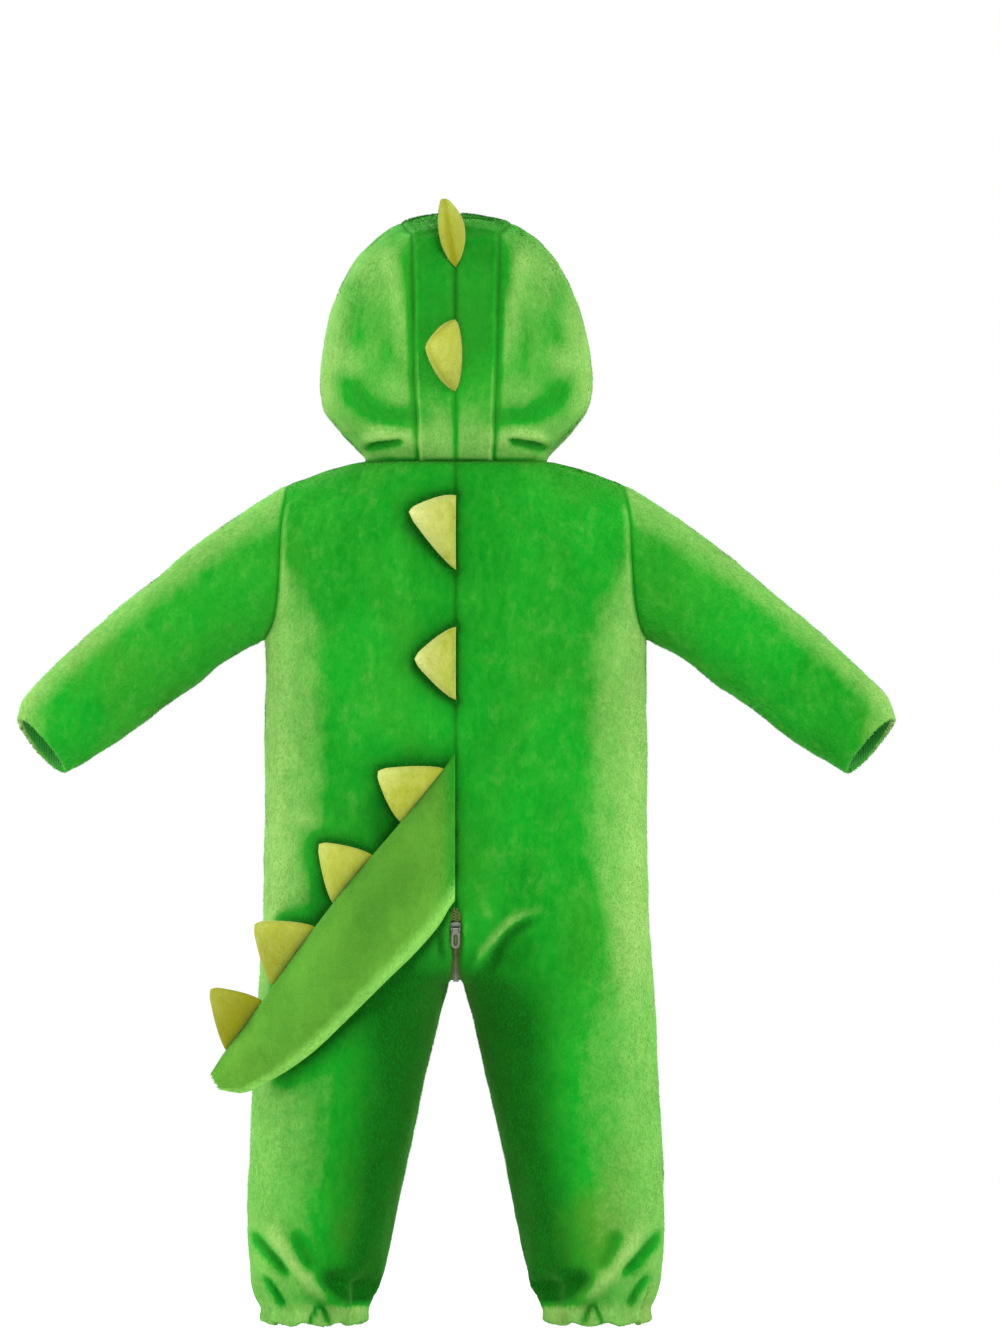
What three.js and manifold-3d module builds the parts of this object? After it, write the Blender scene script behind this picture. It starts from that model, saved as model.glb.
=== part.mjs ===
// A baby's dragon onesie in plush, filled out as it is when worn: a hood with a centre strip, a back and a
// front of two panels each with the legs cut in one, set-in sleeves, a stuffed tail sewn into the back seam,
// eight stuffed spines, and a two-way zip from the neck through the crotch to below the tail.
// Millimetres, +Z up. The front faces -Y and +X is the wearer's left. The origin is the middle of the neck,
// level with the back of the neck seam.
import * as THREE from "three";
import { mergeVertices } from "three/addons/utils/BufferGeometryUtils.js";
import Module from "manifold-3d";

const wasm = await Module();
wasm.setup();

// Driving sizes
const WALL = 4; // plush pile, its backing and a thin lining
const SEAM = 0.3; // left open between two sewn pieces
const HALF_SEAM = 0.17; // with a little to spare for seams between flat facets
const NECK = { half: 66, back: 48, front: 56, side_z: 1, back_drop: 1, front_drop: 31 };
const SHOULDER = { x: 121, z: -16, arch: 1.3 };
const UNDERARM = { x: 138, z: -129 };
const CROTCH_Z = -374;
const HEM_Z = -619;
// Where the seat starts to part into legs, and how high its middle turns under
const SEAT = { top: -262, under: 62 };
const CHEST_COLUMNS = 150; // over this height below the underarm the columns even out
const ARMHOLE_DEPTH = 56;
const ARMHOLE_ROUND = 2.2;
const SHOULDER_ROLL = 0.75; // the share of the armhole's height over which the shoulder rounds over
const SPREAD = 0.3; // the share of it over which columns spread that crowd at the side of the neck
const ZIP = { half: 4, back_top: -318, blend: 7, tape: 1.6, sunk: 0.9, centre: 0.2 };
const SLIDER = { top: 3.5, bottom: 2.8, long: 9, thick: 2.2, clear: 0.45 };
const LUG = { from: 2.4, to: 3.3, long: 3.2, high: 2.3 };
const PULL = { barrel: 0.85, axis: 1.2, neck: 2, wide: 3, neck_long: 2.4, long: 14, thick: 1.3, hole: 1.5 };
const SLIDERS = [
  { name: "front", face: -1, z: -39, hangs_plumb: false },
  { name: "back", face: 1, z: -333, hangs_plumb: true },
];
const STRIP = { neck: 27, bulge: 4.2, crown_bulge: 6 };

// Body sections. outer is the side seam's x, inner the inseam's, back and front the depths from the side
// seam, power how square the section is (2 is an ellipse).
const SECTIONS = [
  { z: -129, outer: 138, inner: 4, back: 70, front: 66, power: 2.4 },
  { z: -180, outer: 137.6, inner: 4, back: 71, front: 70, power: 2.4 },
  { z: -235, outer: 137.4, inner: 4, back: 73, front: 74, power: 2.4 },
  { z: -285, outer: 137.6, inner: 4, back: 78, front: 74, power: 2.4 },
  { z: -325, outer: 138.4, inner: 4, back: 81, front: 72, power: 2.35 },
  { z: -352, outer: 140.4, inner: 4, back: 79, front: 69, power: 2.3 },
  { z: -374, outer: 141.6, inner: 4.6, back: 74, front: 66, power: 2.25 },
  { z: -400, outer: 143, inner: 12, back: 67, front: 62, power: 2.2 },
  { z: -450, outer: 146, inner: 23.6, back: 59, front: 56, power: 2.15 },
  { z: -500, outer: 149, inner: 34.4, back: 54, front: 52, power: 2.1 },
  { z: -545, outer: 150.5, inner: 43.5, back: 51, front: 49, power: 2.1 },
  { z: -570, outer: 149.5, inner: 48.6, back: 49, front: 47, power: 2.1 },
  { z: -588, outer: 146, inner: 53, back: 46, front: 45, power: 2.1 },
  { z: -600, outer: 142, inner: 60, back: 41, front: 40, power: 2.1 },
  { z: -609, outer: 137.5, inner: 65, back: 37, front: 37, power: 2.1 },
  { z: -619, outer: 138, inner: 65.5, back: 37, front: 37, power: 2.1 },
];

// The armhole seam seen from behind: x of the seam at each share of the way down.
const ARMHOLE = [
  { down: 0, x: SHOULDER.x },
  { down: 0.25, x: 125 },
  { down: 0.5, x: 126.5 },
  { down: 0.75, x: 128.5 },
  { down: 0.9, x: 132 },
  { down: 1, x: UNDERARM.x },
];

// Sleeve rings past the armhole. The upper and lower points lie on the sleeve's two edges seen from behind,
// depth is half the ring's size from back to front, and lead pushes its front out past its back.
const SLEEVE = [
  { upper_x: 139.7, upper_z: -28, lower_x: 147.5, lower_z: -133.5, depth: 45, lead: 0 },
  { upper_x: 161.3, upper_z: -41.8, lower_x: 155, lower_z: -137.5, depth: 43, lead: 0 },
  { upper_x: 188, upper_z: -61.2, lower_x: 168, lower_z: -145.4, depth: 40, lead: 0 },
  { upper_x: 216.7, upper_z: -84.2, lower_x: 185.8, lower_z: -159.1, depth: 38, lead: 0 },
  { upper_x: 245.5, upper_z: -108, lower_x: 207.4, lower_z: -174.3, depth: 36, lead: 0.5 },
  { upper_x: 274.3, upper_z: -133.2, lower_x: 234, lower_z: -194.4, depth: 34, lead: 1.5 },
  { upper_x: 298, upper_z: -155.5, lower_x: 257.8, lower_z: -210.2, depth: 31, lead: 3 },
  { upper_x: 311, upper_z: -170, lower_x: 272.2, lower_z: -218.9, depth: 28, lead: 4.5 },
  { upper_x: 315.7, upper_z: -183, lower_x: 280, lower_z: -223.2, depth: 25, lead: 5.5 },
];

// Hood rows from the neck up. seam is the strip's edge behind, wide the widest point, rim the face opening.
const HOOD = [
  { seam_x: 27, seam_y: 43.8, seam_z: 0, wide: 66, wide_y: 0, wide_z: 1,
    rim_x: 4, rim_y: -56, rim_z: -30 },
  { seam_x: 27.4, seam_y: 51, seam_z: 7, wide: 67.5, wide_y: 0, wide_z: 7,
    rim_x: 20, rim_y: -66, rim_z: -21 },
  { seam_x: 27.8, seam_y: 59, seam_z: 15, wide: 74, wide_y: 0, wide_z: 14,
    rim_x: 34, rim_y: -74, rim_z: -9 },
  { seam_x: 28.4, seam_y: 68, seam_z: 27, wide: 84, wide_y: 0, wide_z: 24,
    rim_x: 47, rim_y: -82, rim_z: 7 },
  { seam_x: 29, seam_y: 76, seam_z: 41, wide: 94, wide_y: -1, wide_z: 37,
    rim_x: 57, rim_y: -88, rim_z: 26 },
  { seam_x: 29.6, seam_y: 83, seam_z: 60, wide: 97.5, wide_y: -2, wide_z: 54,
    rim_x: 64, rim_y: -93, rim_z: 48 },
  { seam_x: 30, seam_y: 87, seam_z: 82, wide: 96, wide_y: -3, wide_z: 76,
    rim_x: 66.5, rim_y: -96, rim_z: 73 },
  { seam_x: 30.4, seam_y: 87, seam_z: 105, wide: 91.5, wide_y: -4, wide_z: 101,
    rim_x: 64.5, rim_y: -98, rim_z: 98 },
  { seam_x: 30.8, seam_y: 83, seam_z: 126, wide: 83.5, wide_y: -5, wide_z: 125,
    rim_x: 58, rim_y: -98, rim_z: 120 },
  { seam_x: 31.2, seam_y: 76, seam_z: 143.5, wide: 71.5, wide_y: -6, wide_z: 146,
    rim_x: 50, rim_y: -96.5, rim_z: 135 },
  { seam_x: 31.6, seam_y: 68, seam_z: 155, wide: 56, wide_y: -7, wide_z: 162,
    rim_x: 43, rim_y: -95, rim_z: 144.5 },
  { seam_x: 32, seam_y: 59, seam_z: 162.5, wide: 40, wide_y: -8, wide_z: 173,
    rim_x: 37, rim_y: -93, rim_z: 150 },
];
const HOOD_POWER = 2.15;
const HOOD_LIFT = 1.5; // how softly a hood row rises to its widest point

// Tail stations from the root to the tip: its two edges seen from behind, and half its thickness.
const TAIL = [
  { along: 0, upper_x: 0.6, upper_z: -209.5, lower_x: 0.6, lower_z: -314, half: 2 },
  { along: 0.08, upper_x: 9.4, upper_z: -221.8, lower_x: 4.5, lower_z: -319.5, half: 9 },
  { along: 0.2, upper_x: 26, upper_z: -242.6, lower_x: 12.5, lower_z: -332.6, half: 18 },
  { along: 0.35, upper_x: 49, upper_z: -270, lower_x: 29.5, lower_z: -352, half: 24 },
  { along: 0.5, upper_x: 75, upper_z: -300.2, lower_x: 50.4, lower_z: -372.2, half: 25 },
  { along: 0.65, upper_x: 101, upper_z: -334, lower_x: 75, lower_z: -396.7, half: 23 },
  { along: 0.8, upper_x: 126.7, upper_z: -369.4, lower_x: 103, lower_z: -423.4, half: 19 },
  { along: 0.9, upper_x: 148.3, upper_z: -401, lower_x: 128.9, lower_z: -441.4, half: 15 },
  { along: 0.97, upper_x: 165.6, upper_z: -423.4, lower_x: 151.9, lower_z: -452.2, half: 10.5 },
  { along: 1, upper_x: 175, upper_z: -438, lower_x: 168, lower_z: -450, half: 5 },
];
const TAIL_LEAST_Y = 60; // the stuffed tip stands off the hip by this much
const TAIL_CLEAR = 1.2;
const TAIL_EDGE = 1.4; // half the thickness of its sewn edge
const TAIL_ROUNDNESS = 0.6;

// Spines. from and to are the ends of the base, tip the far corner. Those on the hood and the back stand on
// the centre seam, at heights, and those on the tail on its upper edge, at shares of its length. lift is how
// far a tip that lies on the back stands off it.
const SEAM_STAND = 6; // a spine's tip never lies more than this below the centre seam
const LEAF = {
  taper: 1.35, // how the leaf narrows to its tip
  tip_width: 0.1,
  base_thick: 0.22, // of its full thickness
  fat_from: 0.4, // the share of its height where it is full
  tip_thick: 0.2,
  thinning: 2.2,
  edge_thick: 0.16,
  roundness: 0.8,
};
const SPINES = [
  { name: "spine_hood_top", on: "hood", from: 170, to: 137, tip: [8, 88, 185], thick: 20, gap: 0.9 },
  { name: "spine_hood_back", on: "hood", from: 100, to: 49, tip: [19, 118, 79], thick: 19, gap: 0.6 },
  { name: "spine_back_upper", on: "back", from: -25, to: -78, tip: [33, 0, -37],
    thick: 17, lift: 8, gap: 0.35 },
  { name: "spine_back_lower", on: "back", from: -119, to: -171, tip: [29, 0, -142],
    thick: 17, lift: 8, gap: 0.35 },
  { name: "spine_tail_1", on: "tail", from: 0.07, to: 0.285, tip: [54.5, 0, -222], thick: 15, gap: 0.35 },
  { name: "spine_tail_2", on: "tail", from: 0.41, to: 0.57, tip: [96.5, 0, -274], thick: 15, gap: 0.35 },
  { name: "spine_tail_3", on: "tail", from: 0.645, to: 0.82, tip: [142.5, 0, -331], thick: 15, gap: 0.35 },
  { name: "spine_tail_4", on: "tail", from: 0.855, to: 0.965, tip: [175, 0, -378.5], thick: 14, gap: 0.35 },
];

// Mesh counts
const ARMHOLE_ROWS = 8;
const NECK_STEPS = { strip: 2, back: 4, front: 6 };
const SHOULDER_STEPS = 5;
const TRUNK_STEPS = 4;
const SEAT_STEPS = [4, 6]; // above and below the top of the zip behind
const LEG_STEPS = 5;
const CUFF_STEPS = 7;
const CUFF_TOP_Z = -552; // below this the leg has twice the columns, for its gathers
const GATHERS = { waves: 9, depth: 3.4, top: -566, full: -606, scallop: 2.6 };
const UNEVEN = { waves: 4, share: 0.35, start: 1 }; // a slower wave that makes some gathers deeper
const TAIL_STEPS = { along: 14, across: 8 };
const SPINE_STEPS = { up: 6, round: 8 };

const QUARTER = Math.PI / 2;
const v3 = (x, y, z) => new THREE.Vector3(x, y, z);
const mix = (a, b, t) => a + (b - a) * t;
const clamp01 = (t) => Math.min(1, Math.max(0, t));
const smooth = (t) => clamp01(t) ** 2 * (3 - 2 * clamp01(t));
const signedPower = (value, power) => Math.sign(value) * Math.abs(value) ** power;
const dome = (t, power) => (1 - (1 - clamp01(t)) ** power) ** (1 / power);
const steps = (count, make) => Array.from({ length: count + 1 }, (_, i) => make(i / count, i));

// A table's row at a value of its key, on smooth curves through its rows.
function at(table, key, value) {
  const rising = table[table.length - 1][key] > table[0][key] ? 1 : -1;
  const last = table.length - 2;
  let i = table.findIndex((row, k) => k > 0 && (value - row[key]) * rising <= 0) - 1;
  if (i < 0) i = (value - table[0][key]) * rising <= 0 ? 0 : last;
  const [a, b] = [table[i], table[i + 1]];
  const width = b[key] - a[key];
  const t = clamp01((value - a[key]) / width);
  const slope = (k, column) => {
    const [p, q] = [table[Math.max(k - 1, 0)], table[Math.min(k + 1, table.length - 1)]];
    return (q[column] - p[column]) / (q[key] - p[key]);
  };
  const row = {};
  for (const column of Object.keys(a)) {
    const [sa, sb] = [slope(i, column) * width, slope(i + 1, column) * width];
    const [d, e] = [b[column] - a[column], t * t];
    row[column] = a[column] + sa * t + (3 * d - 2 * sa - sb) * e + (sa + sb - 2 * d) * e * t;
  }
  return row;
}

// The neck seam, by the angle from the middle of the back round to the front.
function neck(angle) {
  const [s, c] = [Math.sin(angle), Math.cos(angle)];
  if (c >= 0) return v3(NECK.half * s, NECK.back * c, NECK.side_z - NECK.back_drop * c);
  return v3(NECK.half * s, NECK.front * c, NECK.side_z + NECK.front_drop * c);
}
const stripAngle = Math.asin(STRIP.neck / NECK.half);
const frontAngle = Math.PI - Math.asin(ZIP.half / NECK.half);
const backNeck = [
  ...steps(NECK_STEPS.strip, (t) => t * stripAngle),
  ...steps(NECK_STEPS.back, (t) => mix(stripAngle, QUARTER, t)).slice(1),
];
const frontNeck = steps(NECK_STEPS.front, (t) => mix(frontAngle, QUARTER, t));

// The top edge of a body panel: along the neck seam, then down the shoulder seam.
function topEdge(angles) {
  const side = neck(QUARTER);
  const shoulder = steps(SHOULDER_STEPS, (t) =>
    v3(mix(side.x, SHOULDER.x, t), 0, mix(side.z, SHOULDER.z, t ** SHOULDER.arch)));
  return [...angles.map(neck), ...shoulder.slice(1)];
}

// A panel's edge at the middle: closed up on itself at the back, and beside the zip elsewhere.
function middleEdge(z, face) {
  if (face < 0) return ZIP.half;
  return ZIP.half * smooth((ZIP.back_top - z) / ZIP.blend);
}

// How far a place above the crotch has parted into two legs, from 0 to 1: softly out at the sides, and round
// under at the middle.
function parted(x, z, legMiddle) {
  const side = smooth((SEAT.top - z) / (SEAT.top - CROTCH_Z));
  const middle = 1 - dome((z - CROTCH_Z) / SEAT.under, 2);
  return mix(middle, side, smooth(x / legMiddle));
}

// The depth at x of one leg's section, and of the whole trunk's.
const lobe = (off, power) => Math.max(0, 1 - Math.abs(off) ** power) ** (1 / power);
function depthAt(x, z, row, inner, face) {
  const depth = face > 0 ? row.back : row.front;
  const legMiddle = (row.outer + inner) / 2;
  const leg = depth * lobe((x - legMiddle) / (row.outer - legMiddle), row.power);
  if (z <= CROTCH_Z) return leg;
  return mix(depth * lobe(x / row.outer, row.power), leg, parted(x, z, legMiddle));
}

// One point of a body section below the underarm, at a share of the way from the inner edge to the outer.
// face is 1 behind and -1 in front, and chestTurn is the same column's place where the chest's columns start.
function sectionPoint(z, share, face, chestTurn) {
  const row = at(SECTIONS, "z", z);
  const inner = z <= CROTCH_Z ? row.inner : middleEdge(z, face);
  const legMiddle = (row.outer + inner) / 2;
  const legTurn = Math.PI * (1 - share);
  const legX = legMiddle + (row.outer - legMiddle) * signedPower(Math.cos(legTurn), 2 / row.power);
  if (z <= CROTCH_Z) {
    const point = v3(legX, face * depthAt(legX, z, row, inner, face), z);
    gather(point, legTurn, face, legMiddle);
    return point;
  }
  const turn = QUARTER * mix(1 - share, chestTurn, trunkBlend(z));
  const trunkX = inner + (row.outer - inner) * Math.cos(turn) ** (2 / row.power);
  const along = smooth((SEAT.top - z) / (SEAT.top - CROTCH_Z));
  const x = mix(trunkX, legX, along);
  return v3(x, face * depthAt(x, z, row, inner, face), z);
}
const trunkBlend = (z) => 1 - smooth((UNDERARM.z - z) / CHEST_COLUMNS);

// Draws the leg's end into gathers round its elastic.
function gather(point, turn, face, legMiddle) {
  const pull = smooth((GATHERS.top - point.z) / (GATHERS.top - GATHERS.full));
  if (pull <= 0) return;
  const round = face > 0 ? turn : -turn;
  const wave = Math.cos(GATHERS.waves * round) + UNEVEN.share * Math.cos(UNEVEN.waves * round + UNEVEN.start);
  const out = v3(point.x - legMiddle, point.y, 0);
  point.addScaledVector(out.normalize(), wave * GATHERS.depth * pull);
  const atHem = smooth((GATHERS.full - point.z) / (GATHERS.full - HEM_Z));
  point.z += atHem * GATHERS.scallop * (1 + Math.cos(GATHERS.waves * round));
}

// A body panel's rows of outer points, from the neck and shoulder down to the hem.
function bodyRows(face) {
  const top = topEdge(face > 0 ? backNeck : frontNeck);
  const columns = top.length - 1;
  const chest = at(SECTIONS, "z", UNDERARM.z);
  const depth = face > 0 ? chest.back : chest.front;
  const edge = face > 0 ? 0 : ZIP.half;
  const lengths = [0];
  for (let k = 1; k <= columns; k++) lengths.push(lengths[k - 1] + top[k].distanceTo(top[k - 1]));
  const even = lengths.map((length) => length / lengths[columns]);
  const rows = steps(ARMHOLE_ROWS, (t) => {
    const down = (1 - Math.cos(Math.PI * t)) / 2;
    const roll = dome(down / SHOULDER_ROLL, 2);
    const seamX = at(ARMHOLE, "down", down).x;
    const armEnd = ARMHOLE_DEPTH * (1 - down ** ARMHOLE_ROUND) ** (1 / ARMHOLE_ROUND);
    const spread = seamX / (1 - (armEnd / depth) ** chest.power) ** (1 / chest.power);
    return top.map((p, k) => {
      const share = mix((p.x - edge) / (SHOULDER.x - edge), even[k], smooth(down / SPREAD));
      const x = edge + (seamX - edge) * share;
      const full = depth * Math.max(0, 1 - (x / spread) ** chest.power) ** (1 / chest.power);
      return v3(x, mix(p.y, face * full, roll), mix(p.z, UNDERARM.z, down));
    });
  });
  // Below the underarm the columns first keep their places on the section, then even out.
  const turns = even.map((s) => {
    const x = edge + (UNDERARM.x - edge) * s;
    return Math.acos(Math.min(1, (x / UNDERARM.x) ** (chest.power / 2)));
  });
  const row = (z, count) => steps(count, (share, k) => {
    const column = turns[Math.round((k * columns) / count)] / turns[0];
    return sectionPoint(z, share, face, column);
  });
  const zipEnd = [0, 0.5, 1].map((t) => ZIP.back_top - ZIP.blend * t);
  const levels = [
    ...steps(TRUNK_STEPS, (t) => mix(UNDERARM.z, SEAT.top, t)).slice(1),
    ...steps(SEAT_STEPS[0], (t) => mix(SEAT.top, zipEnd[0], t)).slice(1, -1),
    ...zipEnd,
    ...steps(SEAT_STEPS[1], (t) => mix(zipEnd[2], CROTCH_Z, 1 - (1 - t) ** 1.7)).slice(1),
    ...steps(LEG_STEPS, (t) => mix(CROTCH_Z, CUFF_TOP_Z, t ** 1.15)).slice(1),
  ];
  rows.push(...levels.map((z) => row(z, columns)));
  rows.push(...steps(CUFF_STEPS, (t) => row(mix(CUFF_TOP_Z, HEM_Z, t), 2 * columns)).slice(1));
  return rows;
}

// The depth of the body's back behind the side seam at a place seen from behind, or 0 beside it.
function backDepth(x, z) {
  const row = at(SECTIONS, "z", Math.min(z, UNDERARM.z));
  return depthAt(x, z, row, z <= CROTCH_Z ? row.inner : 0, 1);
}

// The back's centre seam above the underarm as well.
function backSeamDepth(z) {
  if (z <= UNDERARM.z) return sectionPoint(z, 0, 1, 1).y;
  const roll = dome(z / UNDERARM.z / SHOULDER_ROLL, 2);
  return mix(NECK.back, SECTIONS[0].back, roll);
}

// A sleeve's rings, from the armhole seam that the two body panels give to the cuff.
function sleeveRings(backRows, frontRows) {
  const seam = (rows) => rows.slice(0, ARMHOLE_ROWS + 1).map((row) => row[row.length - 1]);
  const armhole = [...seam(backRows), ...seam(frontRows).reverse().slice(1, -1)];
  const [upper, lower] = [armhole[0], armhole[ARMHOLE_ROWS]];
  const centre = upper.clone().add(lower).multiplyScalar(0.5);
  const half = upper.clone().sub(centre);
  const angles = armhole.map((p, k) => {
    const along = p.clone().sub(centre).dot(half) / half.lengthSq();
    const own = Math.acos(Math.min(1, Math.max(-1, along)));
    return k <= ARMHOLE_ROWS ? own : 2 * Math.PI - own;
  });
  const rings = SLEEVE.map((ring, i) => {
    const u = v3(ring.upper_x, 0, ring.upper_z);
    const l = v3(ring.lower_x, 0, ring.lower_z);
    const middle = u.clone().add(l).multiplyScalar(0.5);
    const across = u.clone().sub(middle);
    const outward = v3(across.z, 0, -across.x).normalize();
    return angles.map((angle, k) => {
      const even = (2 * Math.PI * k) / angles.length;
      const turn = mix(angle, even, smooth((i + 1) / 4));
      return middle.clone()
        .addScaledVector(across, Math.cos(turn))
        .addScaledVector(outward, -ring.lead * Math.sin(turn))
        .add(v3(0, ring.depth * Math.sin(turn), 0));
    });
  });
  return [armhole, ...rings];
}

// A hood row's points from the strip's seam round to the face opening.
function hoodRow(row, index) {
  if (index === 0) {
    const back = backNeck.slice(NECK_STEPS.strip);
    return [...back, ...frontNeck.slice(0, -1).reverse()].map(neck);
  }
  const open = (x) => Math.acos((x / row.wide) ** (HOOD_POWER / 2));
  const arc = (end, x, y, z, count) => {
    const reach = (y - row.wide_y) / Math.sin(end) ** (2 / HOOD_POWER);
    return steps(count, (t) => {
      const turn = end * t;
      const share = (Math.sin(turn) / Math.sin(end)) ** HOOD_LIFT;
      return v3(
        row.wide * Math.cos(turn) ** (2 / HOOD_POWER),
        row.wide_y + reach * Math.sin(turn) ** (2 / HOOD_POWER),
        mix(row.wide_z, z, share),
      );
    });
  };
  const behind = arc(open(row.seam_x), row.seam_x, row.seam_y, row.seam_z, NECK_STEPS.back);
  const ahead = arc(open(row.rim_x), row.rim_x, row.rim_y, row.rim_z, NECK_STEPS.front);
  return [...behind.reverse(), ...ahead.slice(1)];
}

// The strip's seam: up the back of the side panel, then forward along its top edge.
function stripSeam(sideRows) {
  const top = sideRows[sideRows.length - 1];
  return [...sideRows.map((row) => row[0]), ...top.slice(1)];
}

// A point on the hood's centre line, at its seam's point, and the way the strip bulges there.
function stripBulge(seam, i) {
  const [a, b] = [seam[Math.max(i - 1, 0)], seam[Math.min(i + 1, seam.length - 1)]];
  const out = v3(0, b.z - a.z, a.y - b.y).normalize();
  if (i === 0) out.set(0, 1, 0);
  const crown = Math.sin((Math.PI * i) / (seam.length - 1));
  return out.multiplyScalar(mix(STRIP.bulge, STRIP.crown_bulge, crown));
}
function stripRows(seam) {
  const across = backNeck.slice(0, NECK_STEPS.strip + 1);
  return seam.map((p, i) => {
    if (i === 0) return across.map(neck);
    const bulge = stripBulge(seam, i);
    return across.map((_, k) => {
      const share = k / NECK_STEPS.strip;
      const point = v3(p.x * share, p.y, p.z);
      return point.addScaledVector(bulge, 1 - share * share);
    });
  });
}

// A place on the tail: the point between its edges on its middle sheet, and half its thickness there.
function tailPlace(along, across) {
  const row = at(TAIL, "along", along);
  const x = mix(row.lower_x, row.upper_x, (1 + across) / 2);
  const z = mix(row.lower_z, row.upper_z, (1 + across) / 2);
  const lies = Math.max(...[-1, -0.5, 0, 0.5, 1].map((w) => {
    const t = (1 + w) / 2;
    return backDepth(mix(row.lower_x, row.upper_x, t), mix(row.lower_z, row.upper_z, t));
  }));
  const y = Math.max(lies + TAIL_CLEAR + row.half, TAIL_LEAST_Y);
  const swell = Math.max(0, 1 - across * across) ** TAIL_ROUNDNESS;
  return { point: v3(x, y, z), half: TAIL_EDGE + Math.max(0, row.half - TAIL_EDGE) * swell };
}
function tailRows(side) {
  const { along, across } = TAIL_STEPS;
  return steps(along, (t) => steps(across, (w) => {
    const { point, half } = tailPlace(t ** 1.1, -Math.cos(Math.PI * w));
    return [point.clone().add(v3(0, side * half, 0)), point.add(v3(0, (side * SEAM) / 2, 0))];
  }));
}

// The triangles of a sheet of points in rows, by row and place in it. A row may have twice the steps of the one
// above it.
function sheetTriangles(rows, closed) {
  const triangles = [];
  rows.slice(1).forEach((below, r) => {
    const above = rows[r];
    const ratio = (below.length - 1) / (above.length - 1);
    const count = closed ? above.length : above.length - 1;
    for (let k = 0; k < count; k++) {
      const next = closed ? (k + 1) % above.length : k + 1;
      const [a, b] = [[r, k], [r, next]];
      if (ratio === 2) {
        const [c, d, e] = [[r + 1, 2 * k], [r + 1, 2 * k + 1], [r + 1, 2 * k + 2]];
        triangles.push([a, c, d], [a, d, b], [b, d, e]);
      } else {
        const [c, d] = [[r + 1, k], [r + 1, next]];
        triangles.push([a, c, d], [a, d, b]);
      }
    }
  });
  return triangles;
}

// Every sewn sheet is kept here until all of them are known, so that two sheets that share a seam's points
// share the direction of their thickness too.
const sheets = [];
function sheet(name, rows, { flip = false, closed = false, mirrored = false }) {
  const outer = rows.map((row) => row.map((p) => v3(mirrored ? -p.x : p.x, p.y, p.z)));
  sheets.push({ name, rows: outer, closed, flip: flip !== mirrored });
}
const keyOf = (p) => [p.x, p.y, p.z].map((c) => Math.round(c * 50)).join();
function sharedNormals() {
  const sums = new Map();
  for (const s of sheets) {
    s.triangles = sheetTriangles(s.rows, s.closed);
    if (s.flip) s.triangles = s.triangles.map(([a, b, c]) => [a, c, b]);
    for (const corners of s.triangles) {
      const [p, q, r] = corners.map(([i, j]) => s.rows[i][j]);
      const normal = q.clone().sub(p).cross(r.clone().sub(p));
      for (const c of [p, q, r]) {
        const key = keyOf(c);
        if (!sums.has(key)) sums.set(key, v3(0, 0, 0));
        sums.get(key).add(normal);
      }
    }
  }
  for (const sum of sums.values()) sum.normalize();
  return (p) => sums.get(keyOf(p));
}

// A closed solid between two sheets of points with the same rows. Triangles face out on the outer one.
function solid(outer, inner, triangles) {
  const index = new Map();
  const positions = [];
  const vertex = (rows, side, [i, j]) => {
    const key = `${side},${i},${j}`;
    if (!index.has(key)) {
      index.set(key, positions.length / 3);
      positions.push(rows[i][j].x, rows[i][j].y, rows[i][j].z);
    }
    return index.get(key);
  };
  const faces = [];
  const edges = new Map();
  for (const corners of triangles) {
    const [a, b, c] = corners.map((ij) => vertex(outer, "out", ij));
    const [d, e, f] = corners.map((ij) => vertex(inner, "in", ij));
    faces.push(a, b, c, d, f, e);
    corners.forEach((from, k) => {
      const to = corners[(k + 1) % 3];
      if (!edges.delete(`${to}|${from}`)) edges.set(`${from}|${to}`, [from, to]);
    });
  }
  for (const [from, to] of edges.values()) {
    const [a, b] = [vertex(outer, "out", from), vertex(outer, "out", to)];
    const [c, d] = [vertex(inner, "in", from), vertex(inner, "in", to)];
    const [p, q] = [outer[from[0]][from[1]], outer[to[0]][to[1]]];
    const [r, t] = [inner[from[0]][from[1]], inner[to[0]][to[1]]];
    const shorter = q.distanceTo(r) < p.distanceTo(t);
    faces.push(...(shorter ? [b, a, c, b, c, d] : [a, c, d, a, d, b]));
  }
  const geometry = new THREE.BufferGeometry();
  geometry.setAttribute("position", new THREE.Float32BufferAttribute(positions, 3));
  geometry.setIndex(faces);
  return geometry;
}

// Draws a sheet's edges in by half a seam, so that two pieces stand a seam apart.
function drawnIn(rows, closed) {
  const inset = rows.map((row) => row.map((p) => p.clone()));
  const draw = (p, to) => p.add(to.clone().sub(p).setLength(HALF_SEAM));
  const last = rows.length - 1;
  rows[0].forEach((_, k) => draw(inset[0][k], rows[1][k]));
  const ratio = (rows[last - 1].length - 1) / (rows[last].length - 1);
  rows[last].forEach((_, k) => draw(inset[last][k], rows[last - 1][Math.round(k * ratio)]));
  if (!closed) {
    rows.forEach((row, i) => {
      draw(inset[i][0], row[1]);
      draw(inset[i][row.length - 1], row[row.length - 2]);
    });
  }
  return inset;
}

// A point on the hood's centre line at a height behind its crown.
function hoodCentre(z) {
  const points = seam.map((p, i) => v3(0, p.y, p.z).add(stripBulge(seam, i)));
  const k = points.findIndex((p, i) => i > 0 && p.z >= z);
  const t = (z - points[k - 1].z) / (points[k].z - points[k - 1].z);
  return points[k - 1].clone().lerp(points[k], t);
}

// A spine's base line at a share of its length.
function spineBase({ on, from, to }, share) {
  const place = mix(from, to, share);
  if (on === "hood") return hoodCentre(place);
  if (on === "back") return v3(0, backSeamDepth(place), place);
  return tailPlace(place, 1).point;
}

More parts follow.
